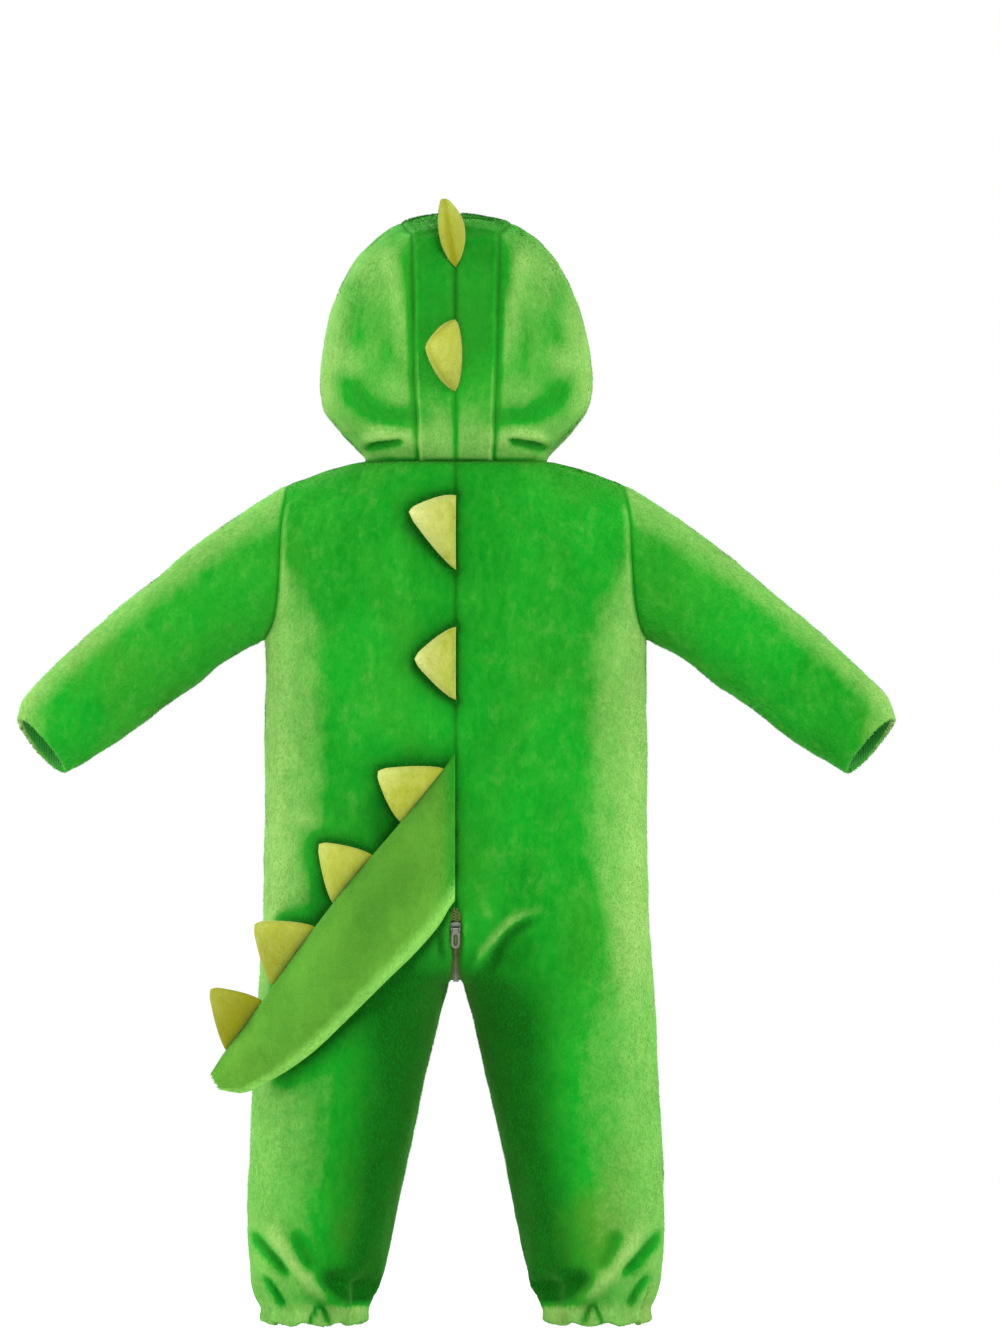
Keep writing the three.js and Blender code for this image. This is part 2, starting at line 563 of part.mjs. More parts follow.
// A stuffed spine: a leaf from its thin sewn base to its rounded tip, as two sheets a thickness apart.
function spine(row) {
  const [from, middle, to] = [0, 0.5, 1].map((share) => spineBase(row, share));
  const tip = v3(...row.tip);
  if (row.on === "tail") tip.y = middle.y;
  const away = tip.clone().sub(middle);
  const across = row.on === "hood" ? v3(1, 0, 0) : v3(0, 1, 0);
  const outer = [];
  const inner = [];
  steps(SPINE_STEPS.up, (s) => {
    const t = 1 - (1 - s) ** 1.5;
    const width = mix(1, LEAF.tip_width, t ** LEAF.taper);
    const rise = mix(LEAF.base_thick, 1, dome(t / LEAF.fat_from, 2));
    const swell = rise * mix(1, LEAF.tip_thick, t ** LEAF.thinning);
    const line = steps(SPINE_STEPS.round, (w) => {
      const share = (1 - Math.cos(Math.PI * w)) / 2;
      const foot = spineBase(row, share);
      const along = foot.clone().sub(middle).multiplyScalar(width);
      const point = middle.clone().add(along).addScaledVector(away, t);
      const round = Math.max(LEAF.edge_thick, Math.sin(Math.PI * w) ** LEAF.roundness);
      const half = 0.5 * row.thick * swell * round;
      if (row.on === "back") {
        const lies = Math.max(backDepth(point.x, point.z), backSeamDepth(point.z) - SEAM_STAND * t);
        point.y = lies + row.gap + half + row.lift * t * t;
        return [point.clone().add(v3(0, half, 0)), point.add(v3(0, -half, 0))];
      }
      point.addScaledVector(away.clone().normalize(), row.gap);
      return [point.clone().addScaledVector(across, half), point.addScaledVector(across, -half)];
    });
    outer.push(line.map(([p]) => p));
    inner.push(line.map(([, p]) => p));
  });
  return solid(outer, inner, sheetTriangles(outer, false));
}

// A geometry as a solid that can be joined and cut, and back.
function toSolid(geometry) {
  const bare = new THREE.BufferGeometry();
  bare.setAttribute("position", geometry.getAttribute("position"));
  bare.setIndex(geometry.index);
  const merged = mergeVertices(bare, 1e-4);
  const vertProperties = merged.getAttribute("position").array;
  const triVerts = Uint32Array.from(merged.index.array);
  return new wasm.Manifold(new wasm.Mesh({ numProp: 3, vertProperties, triVerts }));
}
function toGeometry(solidShape) {
  const mesh = solidShape.getMesh();
  const geometry = new THREE.BufferGeometry();
  geometry.setAttribute("position", new THREE.Float32BufferAttribute(mesh.vertProperties, 3));
  geometry.setIndex(Array.from(mesh.triVerts));
  return geometry;
}
const joined = (geometries) => toGeometry(geometries.map(toSolid).reduce((sum, next) => sum.add(next)));

// A slider and its pull in their own frame: x across the zip, y out of the cloth and z down the zip, with the
// origin on the tapes under the pull's hinge.
const hingeHeight = SLIDER.clear + SLIDER.thick + PULL.axis;
function sliderShape() {
  const { top, bottom, long, thick, clear } = SLIDER;
  const outline = new THREE.Shape();
  outline.moveTo(-top, -long * 0.45);
  outline.quadraticCurveTo(0, -long * 0.62, top, -long * 0.45);
  outline.lineTo(top, -long * 0.1);
  outline.lineTo(bottom, long * 0.5);
  outline.lineTo(-bottom, long * 0.5);
  outline.lineTo(-top, -long * 0.1);
  outline.closePath();
  const plate = new THREE.ExtrudeGeometry(outline, { depth: thick, bevelEnabled: false, curveSegments: 6 });
  plate.rotateX(QUARTER).translate(0, clear + thick, 0);
  const lugs = [-1, 1].map((side) => {
    const lug = new THREE.BoxGeometry(LUG.to - LUG.from, LUG.high + 0.2, LUG.long);
    return lug.translate((side * (LUG.from + LUG.to)) / 2, clear + thick + (LUG.high - 0.2) / 2, 0);
  });
  return joined([plate, ...lugs]);
}
function pullShape() {
  const { barrel, neck, wide, neck_long, long, thick, hole } = PULL;
  const outline = new THREE.Shape();
  outline.moveTo(-neck, 0);
  outline.lineTo(neck, 0);
  outline.lineTo(neck, neck_long);
  outline.lineTo(wide, neck_long + 1);
  outline.lineTo(wide, long - wide);
  outline.absarc(0, long - wide, wide, 0, Math.PI, false);
  outline.lineTo(-wide, neck_long + 1);
  outline.lineTo(-neck, neck_long);
  outline.closePath();
  const slot = new THREE.Path();
  slot.absarc(0, long - wide, hole, 0, Math.PI, false);
  slot.absarc(0, neck_long + wide, hole, Math.PI, 2 * Math.PI, false);
  slot.closePath();
  outline.holes.push(slot);
  const tab = new THREE.ExtrudeGeometry(outline, { depth: thick, bevelEnabled: false, curveSegments: 5 });
  tab.rotateX(QUARTER).translate(0, thick / 2, 0);
  const pin = new THREE.CylinderGeometry(barrel, barrel, 2 * neck, 12).rotateZ(QUARTER);
  return joined([tab, pin]);
}

const group = new THREE.Group();
function add(name, geometry, material) {
  const mesh = new THREE.Mesh(geometry, material);
  mesh.name = name;
  group.add(mesh);
  return mesh;
}
function sew() {
  const normalAt = sharedNormals();
  for (const s of sheets) {
    const outer = drawnIn(s.rows, s.closed);
    const inner = outer.map((row, i) =>
      row.map((p, k) => p.clone().addScaledVector(normalAt(s.rows[i][k]), -WALL)));
    add(s.name, solid(outer, inner, s.triangles), plush);
  }
}

const finish = (colour, roughness, metalness = 0) =>
  new THREE.MeshStandardMaterial({ color: colour, roughness, metalness, side: THREE.DoubleSide });
const plush = finish(0x1fa32c, 0.95);
const felt = finish(0xc0bc4c, 0.9);
const tapeCloth = finish(0x556f16, 0.8);
const metal = finish(0xb9bcb4, 0.35, 1);

// The zip's line down the middle of the front, through the crotch and up to its end behind. The y and z are
// the panels' outer edges, and x is how far they stand from the middle.
function zipLine(frontRows, backRows) {
  const edge = (rows) => rows.map((row) => row[0].clone()).filter((p) => p.z > CROTCH_Z + 0.01);
  const up = edge(backRows).filter((p) => p.z < ZIP.back_top - 1).reverse();
  const line = [...edge(frontRows), v3(ZIP.half, 0, CROTCH_Z), ...up];
  line[0].z -= 0.6;
  return line;
}
// Which way is out of the cloth along that line, by its index.
function zipOut(line, i) {
  const [a, b] = [line[Math.max(i - 1, 0)], line[Math.min(i + 1, line.length - 1)]];
  return v3(0, b.z - a.z, a.y - b.y).normalize();
}
function zipTape(line) {
  const outer = line.map((p, i) => {
    const out = zipOut(line, i);
    const level = p.clone().addScaledVector(out, -ZIP.sunk);
    return [ZIP.centre, p.x - SEAM - 0.1].map((x) => v3(x, level.y, level.z));
  });
  const inner = outer.map((row, i) => row.map((p) => p.clone().addScaledVector(zipOut(line, i), -ZIP.tape)));
  return [outer, inner];
}

// Turns a solid's faces round if they point in.
function facingOut(geometry) {
  const [p, f] = [geometry.attributes.position, geometry.index.array];
  let volume = 0;
  for (let i = 0; i < f.length; i += 3) {
    const [a, b, c] = [0, 1, 2].map((k) => v3().fromBufferAttribute(p, f[i + k]));
    volume += a.dot(b.cross(c)) / 6;
  }
  if (volume < 0) for (let i = 0; i < f.length; i += 3) [f[i + 1], f[i + 2]] = [f[i + 2], f[i + 1]];
  return geometry;
}

// Body, sleeves and hood, each piece and its mirror image
const back = bodyRows(1);
const front = bodyRows(-1);
const sleeve = sleeveRings(back, front);
const hoodSide = HOOD.map(hoodRow);
const seam = stripSeam(hoodSide);
const strip = stripRows(seam);
for (const [side, mirrored] of [["left", false], ["right", true]]) {
  sheet(`back_${side}`, back, { flip: true, mirrored });
  sheet(`front_${side}`, front, { mirrored });
  sheet(`sleeve_${side}`, sleeve, { closed: true, mirrored });
  sheet(`hood_side_${side}`, hoodSide, { mirrored });
  sheet(`hood_strip_${side}`, strip, { mirrored });
}
sew();

// Tail, in two halves sewn along its edges
for (const [name, side] of [["tail_outer", 1], ["tail_inner", -1]]) {
  const rows = tailRows(side);
  const pick = (which) => rows.map((row) => row.map((pair) => pair[which]));
  add(name, facingOut(solid(pick(0), pick(1), sheetTriangles(pick(0), false))), plush);
}

// Zip tapes
const line = zipLine(front, back);
const [tapeOuter, tapeInner] = zipTape(line);
for (const [side, sign] of [["left", 1], ["right", -1]]) {
  const mirror = (rows) => rows.map((row) => row.map((p) => v3(sign * p.x, p.y, p.z)));
  const geometry = solid(mirror(tapeOuter), mirror(tapeInner), sheetTriangles(tapeOuter, false));
  add(`zip_tape_${side}`, facingOut(geometry), tapeCloth);
}

// Sliders and their pulls
for (const { name, face, z, hangs_plumb } of SLIDERS) {
  const i = line.findIndex((p, k) => k > 0 && p.y * face > 0 && (p.z - z) * (line[k - 1].z - z) <= 0);
  const t = (z - line[i - 1].z) / (line[i].z - line[i - 1].z);
  const out = zipOut(line, i - 1).lerp(zipOut(line, i), t).normalize();
  const place = line[i - 1].clone().lerp(line[i], t).addScaledVector(out, -ZIP.sunk).setX(0);
  const down = v3(0, face * out.z, -face * out.y);
  const frame = (y, d) => new THREE.Matrix4().makeBasis(y.clone().cross(d), y, d);
  const turned = frame(out, down).setPosition(place);
  add(`zip_slider_${name}`, sliderShape().applyMatrix4(turned), metal);
  const hinge = place.clone().addScaledVector(out, hingeHeight);
  const hang = hangs_plumb ? frame(v3(0, face, 0), v3(0, 0, -1)) : frame(out, down);
  add(`zip_pull_${name}`, pullShape().applyMatrix4(hang.setPosition(hinge)), metal);
  group.userData[`hinge_${name}`] = hinge.toArray();
}

// Spines
for (const row of SPINES) {
  const geometry = spine(row);
  add(row.name, facingOut(geometry), felt);
}

export default group;
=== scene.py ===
# The looks of a baby's dragon onesie in plush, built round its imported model. Sizes are millimetres in the
# model's own frame until a mesh is made: +Z up, the front faces -Y, and +X is the wearer's left.
import math
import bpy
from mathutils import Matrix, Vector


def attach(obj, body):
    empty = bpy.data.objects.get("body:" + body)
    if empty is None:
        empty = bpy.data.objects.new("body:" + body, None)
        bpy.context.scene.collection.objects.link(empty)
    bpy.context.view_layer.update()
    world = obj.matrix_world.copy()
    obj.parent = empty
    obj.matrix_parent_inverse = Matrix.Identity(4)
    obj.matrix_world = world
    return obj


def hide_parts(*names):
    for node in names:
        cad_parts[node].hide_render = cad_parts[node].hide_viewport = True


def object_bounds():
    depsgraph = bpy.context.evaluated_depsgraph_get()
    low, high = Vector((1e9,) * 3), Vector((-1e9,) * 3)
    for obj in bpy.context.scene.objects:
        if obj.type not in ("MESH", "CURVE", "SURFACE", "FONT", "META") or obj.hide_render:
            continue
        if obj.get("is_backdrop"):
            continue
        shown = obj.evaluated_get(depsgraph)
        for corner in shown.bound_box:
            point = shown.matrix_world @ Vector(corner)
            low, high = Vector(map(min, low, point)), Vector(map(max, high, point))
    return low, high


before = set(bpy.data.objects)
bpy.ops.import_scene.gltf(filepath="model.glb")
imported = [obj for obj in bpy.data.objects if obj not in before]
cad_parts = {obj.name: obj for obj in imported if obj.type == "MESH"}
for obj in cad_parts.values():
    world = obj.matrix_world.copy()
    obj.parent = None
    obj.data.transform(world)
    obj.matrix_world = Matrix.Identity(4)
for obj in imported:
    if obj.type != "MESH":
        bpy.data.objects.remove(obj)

from types import SimpleNamespace as Sizes

import bpy
import numpy as np

cad_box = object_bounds()

MM = 0.001
QUARTER = math.pi / 2

# Sizes of the model that the cloth follows
WALL = 4.0
LAP = 0.03  # how far panels run into each other at a seam
SAME_PLACE = 0.05  # points of two panels within it are one point of their seam
NECK = Sizes(half=66, back=48, front=56, side_z=1, back_drop=1, front_drop=31)
SHOULDER = Sizes(x=121, z=-16, arch=1.3)
UNDERARM = Sizes(x=138, z=-129)
CROTCH_Z = -374
HEM_Z = -619
SEAT = Sizes(top=-262, under=62)
CHEST_COLUMNS = 150
ARMHOLE_DEPTH = 56
ARMHOLE_ROUND = 2.2
SHOULDER_ROLL = 0.75
SPREAD = 0.3  # the share of the armhole's height over which columns spread that crowd at the neck
ZIP = Sizes(half=4, back_top=-318, blend=7, tape=1.6, sunk=0.9, centre=0.2, tuck=1.2)
STRIP = Sizes(neck=27, bulge=4.2, crown_bulge=6, steps=(11, 21))
SKIN = Sizes(sleeve=3.1, hood=2.5)  # between rows
HOOD_POWER = 2.15
HOOD_LIFT = 1.5
TAIL_LEAST_Y = 60
TAIL_CLEAR = 1.2
TAIL_ROUNDNESS = 0.6
TAIL_EDGE = 1.0
SEAM_STAND = 6
EASE = Sizes(high=22, start=6, wide=14, rounds=30)
GATHERS = Sizes(waves=9, depth=3.4, top=-566, full=-606, scallop=1.6)
UNEVEN = Sizes(waves=4, share=0.35, start=1)
LEAF = Sizes(taper=1.35, tip_width=0.1, base_thick=0.22, fat_from=0.4, tip_thick=0.2, thinning=2.2,
             edge_thick=0.05, roundness=0.8, rows=27, columns=29, crowd=1.5, round_from=0.9, lift=8)


def table(names, rows):
    """Columns by name. The first one is the key."""
    return dict(zip(names.split(), np.array(rows, float).T))


SECTIONS = table("z outer inner back front power", [
    (-129, 138, 4, 70, 66, 2.4),
    (-180, 137.6, 4, 71, 70, 2.4),
    (-235, 137.4, 4, 73, 74, 2.4),
    (-285, 137.6, 4, 78, 74, 2.4),
    (-325, 138.4, 4, 81, 72, 2.35),
    (-352, 140.4, 4, 79, 69, 2.3),
    (-374, 141.6, 4.6, 74, 66, 2.25),
    (-400, 143, 12, 67, 62, 2.2),
    (-450, 146, 23.6, 59, 56, 2.15),
    (-500, 149, 34.4, 54, 52, 2.1),
    (-545, 150.5, 43.5, 51, 49, 2.1),
    (-570, 149.5, 48.6, 49, 47, 2.1),
    (-588, 146, 53, 46, 45, 2.1),
    (-600, 142, 60, 41, 40, 2.1),
    (-609, 137.5, 65, 37, 37, 2.1),
    (-619, 138, 65.5, 37, 37, 2.1),
])
ARMHOLE = table("down x", [(0, 121), (0.25, 125), (0.5, 126.5), (0.75, 128.5), (0.9, 132), (1, 138)])
SLEEVE = table("ring upper_x upper_z lower_x lower_z depth lead", [
    (1, 139.7, -28, 147.5, -133.5, 45, 0),
    (2, 161.3, -41.8, 155, -137.5, 43, 0),
    (3, 188, -61.2, 168, -145.4, 40, 0),
    (4, 216.7, -84.2, 185.8, -159.1, 38, 0),
    (5, 245.5, -108, 207.4, -174.3, 36, 0.5),
    (6, 274.3, -133.2, 234, -194.4, 34, 1.5),
    (7, 298, -155.5, 257.8, -210.2, 31, 3),
    (8, 311, -170, 272.2, -218.9, 28, 4.5),
    (9, 315.7, -183, 280, -223.2, 25, 5.5),
])
HOOD = table("row seam_x seam_y seam_z wide wide_y wide_z rim_x rim_y rim_z", [
    (0, 27, 43.8, 0, 66, 0, 1, 4, -56, -30),
    (1, 27.4, 51, 7, 67.5, 0, 7, 20, -66, -21),
    (2, 27.8, 59, 15, 74, 0, 14, 34, -74, -9),
    (3, 28.4, 68, 27, 84, 0, 24, 47, -82, 7),
    (4, 29, 76, 41, 94, -1, 37, 57, -88, 26),
    (5, 29.6, 83, 60, 97.5, -2, 54, 64, -93, 48),
    (6, 30, 87, 82, 96, -3, 76, 66.5, -96, 73),
    (7, 30.4, 87, 105, 91.5, -4, 101, 64.5, -98, 98),
    (8, 30.8, 83, 126, 83.5, -5, 125, 58, -98, 120),
    (9, 31.2, 76, 143.5, 71.5, -6, 146, 50, -96.5, 135),
    (10, 31.6, 68, 155, 56, -7, 162, 43, -95, 144.5),
    (11, 32, 59, 162.5, 40, -8, 173, 37, -93, 150),
])
TAIL = table("along upper_x upper_z lower_x lower_z half", [
    (0, 0.6, -209.5, 0.6, -314, 2),
    (0.08, 9.4, -221.8, 4.5, -319.5, 9),
    (0.2, 26, -242.6, 12.5, -332.6, 18),
    (0.35, 49, -270, 29.5, -352, 24),
    (0.5, 75, -300.2, 50.4, -372.2, 25),
    (0.65, 101, -334, 75, -396.7, 23),
    (0.8, 126.7, -369.4, 103, -423.4, 19),
    (0.9, 148.3, -401, 128.9, -441.4, 15),
    (0.97, 165.6, -423.4, 151.9, -452.2, 10.5),
    (1, 175, -438, 168, -450, 5),
])
# base is where a spine starts and ends: heights, or on the tail shares of its length
SPINES = [
    Sizes(name="spine_" + name, on=on, base=base, tip=tip, thick=thick, gap=gap, tone=tone)
    for name, on, base, tip, thick, gap, tone in [
        ("hood_top", "hood", (170, 137), (8, 88, 185), 20, 0.9, -0.4),
        ("hood_back", "hood", (100, 49), (19, 118, 79), 19, 0.6, -0.1),
        ("back_upper", "back", (-25, -78), (33, 0, -37), 17, 0.35, 0.4),
        ("back_lower", "back", (-119, -171), (29, 0, -142), 17, 0.35, 0.3),
        ("tail_1", "tail", (0.07, 0.285), (54.5, 0, -222), 15, 0.35, 0.15),
        ("tail_2", "tail", (0.41, 0.57), (96.5, 0, -274), 15, 0.35, 0.0),
        ("tail_3", "tail", (0.645, 0.82), (142.5, 0, -331), 15, 0.35, -0.25),
        ("tail_4", "tail", (0.855, 0.965), (175, 0, -378.5), 14, 0.35, -0.75),
    ]
]

# What the plush adds to the model's form
SEAM_DIP = Sizes(deep=1.1, wide=3.0, short=0.55)  # the pile is shorter by that share in a seam
SEAM_RIDGE = Sizes(high=1.0, at=2.6, wide=1.5)  # the strip's seam allowance lies under its own side
LUMPS = [Sizes(size=52, high=0.55, seed=3), Sizes(size=19, high=0.22, seed=4)]
# shade is the painted light on the pile round an open rim
RIM = Sizes(steps=4, bulge=1.8, denser=1.6, keep=0.75, shade=0.2)
EDGES = {"top": np.s_[0], "bottom": np.s_[-1], "left": np.s_[:, 0], "right": np.s_[:, -1]}
TAIL_SHAPE = Sizes(rows=92, columns=40, crowd=1.1, lumps=1.1, lump_size=34, full=14)

# Painted light and shade: the pile is paler on folds and on the strip's seam ridge, and darker in folds'
# troughs and along seams
SHADE = Sizes(fold=5, stand=0.7, sink=1.15, seam=0.5, ridge=0.3, palest=0.8)
# How much painted light the cloth's sides get where they turn aside
PAINTED_SIDE_LIGHT = 0.68
SLEEVE_TOP = (0.59, 0.81)  # which way a sleeve's upper side faces, in x and z
# Painted shade at a spine's base and painted light at its tip
SPINE_SHADE = 0.35  # how much darker a spine's base is, and how much paler its tip
# Painted shadow on the cloth's pile round what lies on it
CONTACT = Sizes(dark=0.8, wide=4, far=0.45, spread=12, least_y=34, blend=22)
CAMERA = Sizes(x=-31.7, y=9000, z=-146.5, frame_height=958.3, sensor=36)

# Folds: how far each stands out of the cloth, or sinks in if below 0, the half width at which it has mostly
# gone, whether both sides have it, and the points where its line shows to the camera behind.
FOLD_END = 0.3  # the share of a fold's length over which it rises at each end
FOLD_FACING = (-0.1, 0.25)  # how far cloth faces the camera's side where a fold starts and where it is full
# the wearer's left alone, -1 for the right alone, and 2 for both.
FOLDS_BEHIND = [
    (3.8, 5, True, (141, -541), (127, -562), (113, -582), (101, -595), (89, -604), (76, -610), (60, -608)),
    (-4.6, 3.6, True, (149, -550), (142, -562), (131, -574), (117, -588)),
    (-4.4, 2.6, True, (142, -584), (136, -590), (130, -598), (126, -606), (128, -612)),
    (-2.6, 5, True, (117, -550), (113, -564), (108, -575), (101, -584)),
    (-6.4, 7.5, True, (103, -583), (88, -590), (70, -594), (38, -596)),
    (-3, 1.7, True, (98, -604), (95, -611), (91, -623)),
    (-3, 1.7, True, (98, -604), (101, -611), (106, -623)),
    (3.8, 4.2, False, (-6, -372), (-14, -360), (-21, -350), (-31.5, -339.6), (-40, -332),
     (-50.5, -326.5), (-62, -322)),
    (-4.8, 4.2, False, (-20, -372), (-27, -360), (-31, -350), (-38, -340), (-45.5, -334), (-54, -330),
     (-64, -327)),
    (-1.6, 9, False, (-34, -366), (-44, -352), (-58, -340)),
    (0.7, 5, False, (-16, -300), (-19, -316), (-23, -334)),
    (-2.4, 2.2, False, (12, -336), (11.5, -346), (10, -360)),
    (1.5, 2.4, True, (6.4, -316), (6.6, -335), (6.4, -356), (6, -378)),
    (1.3, 6.2, False, (130, -247), (110, -257), (92, -263.5), (74, -266), (54, -272)),
    (-6, 2.8, True, (68, 7), (60, 11.5), (50, 12.8), (43, 14.5), (34, 18.5)),
    (3.4, 5, True, (72, 13), (57, 19), (43, 20.5), (34, 17), (24, 8)),
    (-2.2, 9, True, (94, 74), (82, 56), (68, 41), (50, 32), (30, 31), (10, 34)),
    (-1.5, 12, True, (84, 146), (78, 124), (75, 102), (78, 70)),
    (2.6, 8, True, (52, 165), (46.8, 144), (40, 116), (36.5, 88), (33, 62)),
    (-1.4, 4, True, (38, 160), (35, 127), (32, 92)),
    (1.3, 2.6, False, (-33, 160), (0, 161.5), (33, 160)),
]
FOLDS_AHEAD = [
    (2.8, 5, True, (143, -536), (124, -565), (111, -590), (98, -603)),
    (-3.2, 4.6, True, (138, -560), (128, -574), (120, -590)),
    (-6, 6.2, True, (104, -594), (88, -600), (70, -600), (56, -606)),
    (-2.2, 5, True, (108, -560), (104, -574), (97, -588)),
    (2.2, 4.5, True, (94, -602), (82, -612), (66, -604)),
    (-2.2, 7, False, (66, -349), (42, -362), (18, -373)),
    (1.1, 7, False, (64, -339), (40, -351), (18, -363)),
    (-2, 7, False, (-60, -342), (-36, -358), (-16, -372)),
    (-3.4, 3.2, True, (70, 2), (58, 4), (44, -2)),
]

# Pile
FUR = Sizes(thick=0.82, long=2.7, wide=0.6, lean=1.2, root=0.2, patch=34, swirl=0.4, spread=0.25,
            uneven=0.12)
SPINE_FUR = Sizes(thick=1.5, long=1.7, wide=0.42, lean=1.1, root=0.2, patch=18, swirl=0.7, spread=0.4,
                  uneven=0.3)
# How the blades differ: their lean in radians, also in patches, and shares of their length and width
BLADES = Sizes(lean=(0.2, 1.45), lean_waves=0.08, lean_spread=0.06, patches=1.4, twist=0.1, long=(0.65, 1.2),
               wide=(0.8, 1.2))


def mix(a, b, t):
    return a + (b - a) * t


def smooth(t):
    t = np.clip(t, 0, 1)
    return t * t * (3 - 2 * t)


def ramp(value, start, end):
    """From 0 at the start to 1 at the end, which may be below it."""
    return smooth((value - start) / (end - start))


def dome(t, power):
    return (1 - (1 - np.clip(t, 0, 1)) ** power) ** (1 / power)


def lobe(off, power):
    return np.maximum(0, 1 - np.abs(off) ** power) ** (1 / power)


def signed_power(value, power):
    return np.sign(value) * np.abs(value) ** power


def unit(vectors):
    return vectors / np.maximum(np.linalg.norm(vectors, axis=-1, keepdims=True), 1e-9)


def lengths_along(line):
    return np.concatenate([[0], np.linalg.norm(np.diff(line, axis=0), axis=1).cumsum()])


def waves(points, size, seed, count=7):
    """Smooth uneven waves of about that size, mostly between -1 and 1."""
    rng = np.random.default_rng(seed)
    total = 0
    for _ in range(count):
        along = unit(rng.normal(size=3))
        turn, length = rng.uniform(0, 2 * math.pi), size * rng.uniform(0.7, 1.4)
        total = total + np.sin(points @ along * (2 * math.pi / length) + turn)
    return total / math.sqrt(count)


def curve(knots, values, where):
    """Smooth curves through the values at rising knots."""
    last = len(knots) - 1
    before, after = np.maximum(np.arange(last + 1) - 1, 0), np.minimum(np.arange(last + 1) + 1, last)
    wide = (knots[after] - knots[before]).reshape((-1,) + (1,) * (values.ndim - 1))
    slopes = (values[after] - values[before]) / wide
    i = np.clip(np.searchsorted(knots, where) - 1, 0, last - 1)
    step = knots[i + 1] - knots[i]
    t = np.clip((where - knots[i]) / step, 0, 1)
    step, t = (part.reshape(part.shape + (1,) * (values.ndim - 1)) for part in (step, t))
    a, b, rise = slopes[i] * step, slopes[i + 1] * step, values[i + 1] - values[i]
    return values[i] + t * (a + t * (3 * rise - 2 * a - b + t * (a + b - 2 * rise)))


def at(rows, value):
    """A table's columns at values of its key, on smooth curves through its rows."""
    key = next(iter(rows.values()))
    way = 1 if key[-1] > key[0] else -1
    value = np.asarray(value, float)
    return Sizes(**{name: curve(way * key, column, way * value) for name, column in rows.items()})


def skin(rows, spacing):
    """Rows a spacing apart on smooth curves through the given rows of points."""
    rows = np.array(rows)
    gaps = np.linalg.norm(np.diff(rows, axis=0), axis=2).mean(axis=1)
    knots = np.concatenate([[0], np.cumsum(gaps)])
    return curve(knots, rows, np.linspace(0, knots[-1], round(knots[-1] / spacing) + 1))


# Columns of the body's top edge: 0 is the middle, and the others are the strip's seam, the side of the neck
# and the end of the shoulder. Columns crowd together at seams.
STRIP_PLACE, SIDE_PLACE, SHOULDER_PLACE = 2, 6, 11
STRIP_ANGLE = math.asin(STRIP.neck / NECK.half)
FRONT_ANGLE = math.pi - math.asin(ZIP.half / NECK.half)


def crowded(start, end, count, at_start=0.0, at_end=0.0):
    """Evenly spaced numbers, drawn together at the ends."""
    t = np.linspace(0, 1, count + 1)
    t = t - at_start * t * (1 - t) ** 2 + at_end * t * t * (1 - t)
    return mix(start, end, t)


def joined(*parts):
    return np.concatenate([parts[0]] + [part[1:] for part in parts[1:]])


STRIP_PLACES = crowded(0, STRIP_PLACE, 14, 0.5, 0.5)
SHOULDER_PLACES = crowded(SIDE_PLACE, SHOULDER_PLACE, 25, 0, 0.5)
BACK_PLACES = joined(STRIP_PLACES, crowded(STRIP_PLACE, SIDE_PLACE, 21), SHOULDER_PLACES)
FRONT_PLACES = joined(crowded(0, SIDE_PLACE, 36, 0.5), SHOULDER_PLACES)


def neck(angle):
    s, c = np.sin(angle), np.cos(angle)
    deep = np.where(c >= 0, NECK.back, NECK.front)
    rise = np.where(c >= 0, -NECK.back_drop, NECK.front_drop)
    return np.stack([NECK.half * s, deep * c, NECK.side_z + rise * c], -1)


def neck_angle(places, face):
    if face > 0:
        return np.interp(places, [0, STRIP_PLACE, SIDE_PLACE], [0, STRIP_ANGLE, QUARTER])
    return np.interp(places, [0, SIDE_PLACE], [FRONT_ANGLE, QUARTER])


def top_edge(places, face):
    """Along the neck seam, then down the shoulder seam."""
    on_neck = neck(neck_angle(np.minimum(places, SIDE_PLACE), face))
    t = np.clip((places - SIDE_PLACE) / (SHOULDER_PLACE - SIDE_PLACE), 0, 1)
    x, z = mix(NECK.half, SHOULDER.x, t), mix(NECK.side_z, SHOULDER.z, t**SHOULDER.arch)
    on_shoulder = np.stack([x, 0 * t, z], -1)
    return np.where((places <= SIDE_PLACE)[:, None], on_neck, on_shoulder)


def middle_edge(z, face):
    if face < 0:
        return ZIP.half + 0 * z
    return ZIP.half * ramp(z, ZIP.back_top, ZIP.back_top - ZIP.blend)


def parted(x, z, leg_middle):
    side = ramp(z, SEAT.top, CROTCH_Z)
    middle = 1 - dome((z - CROTCH_Z) / SEAT.under, 2)
    return mix(middle, side, smooth(x / leg_middle))


def depth_at(x, z, row, inner, face):
    depth = row.back if face > 0 else row.front
    leg_middle = (row.outer + inner) / 2
    leg = depth * lobe((x - leg_middle) / (row.outer - leg_middle), row.power)
    trunk = depth * lobe(x / row.outer, row.power)
    return np.where(z <= CROTCH_Z, leg, mix(trunk, leg, parted(x, z, leg_middle)))


def section(z, share, face, chest_turn):
    """Points of the body's sections below the underarm, at shares of the way from the inner edge out."""
    z, share, chest_turn = np.broadcast_arrays(z, share, chest_turn)
    row = at(SECTIONS, z)
    leg = z <= CROTCH_Z
    inner = np.where(leg, row.inner, middle_edge(z, face))
    leg_middle = (row.outer + inner) / 2
    leg_turn = math.pi * (1 - share)
    leg_x = leg_middle + (row.outer - leg_middle) * signed_power(np.cos(leg_turn), 2 / row.power)
    keep = 1 - ramp(z, UNDERARM.z, UNDERARM.z - CHEST_COLUMNS)
    turn = QUARTER * mix(1 - share, chest_turn, keep)
    trunk_x = inner + (row.outer - inner) * np.maximum(np.cos(turn), 0) ** (2 / row.power)
    x = np.where(leg, leg_x, mix(trunk_x, leg_x, ramp(z, SEAT.top, CROTCH_Z)))
    points = np.stack([x, face * depth_at(x, z, row, inner, face), z], -1)
    return gathered(points, leg_turn, face, leg_middle)


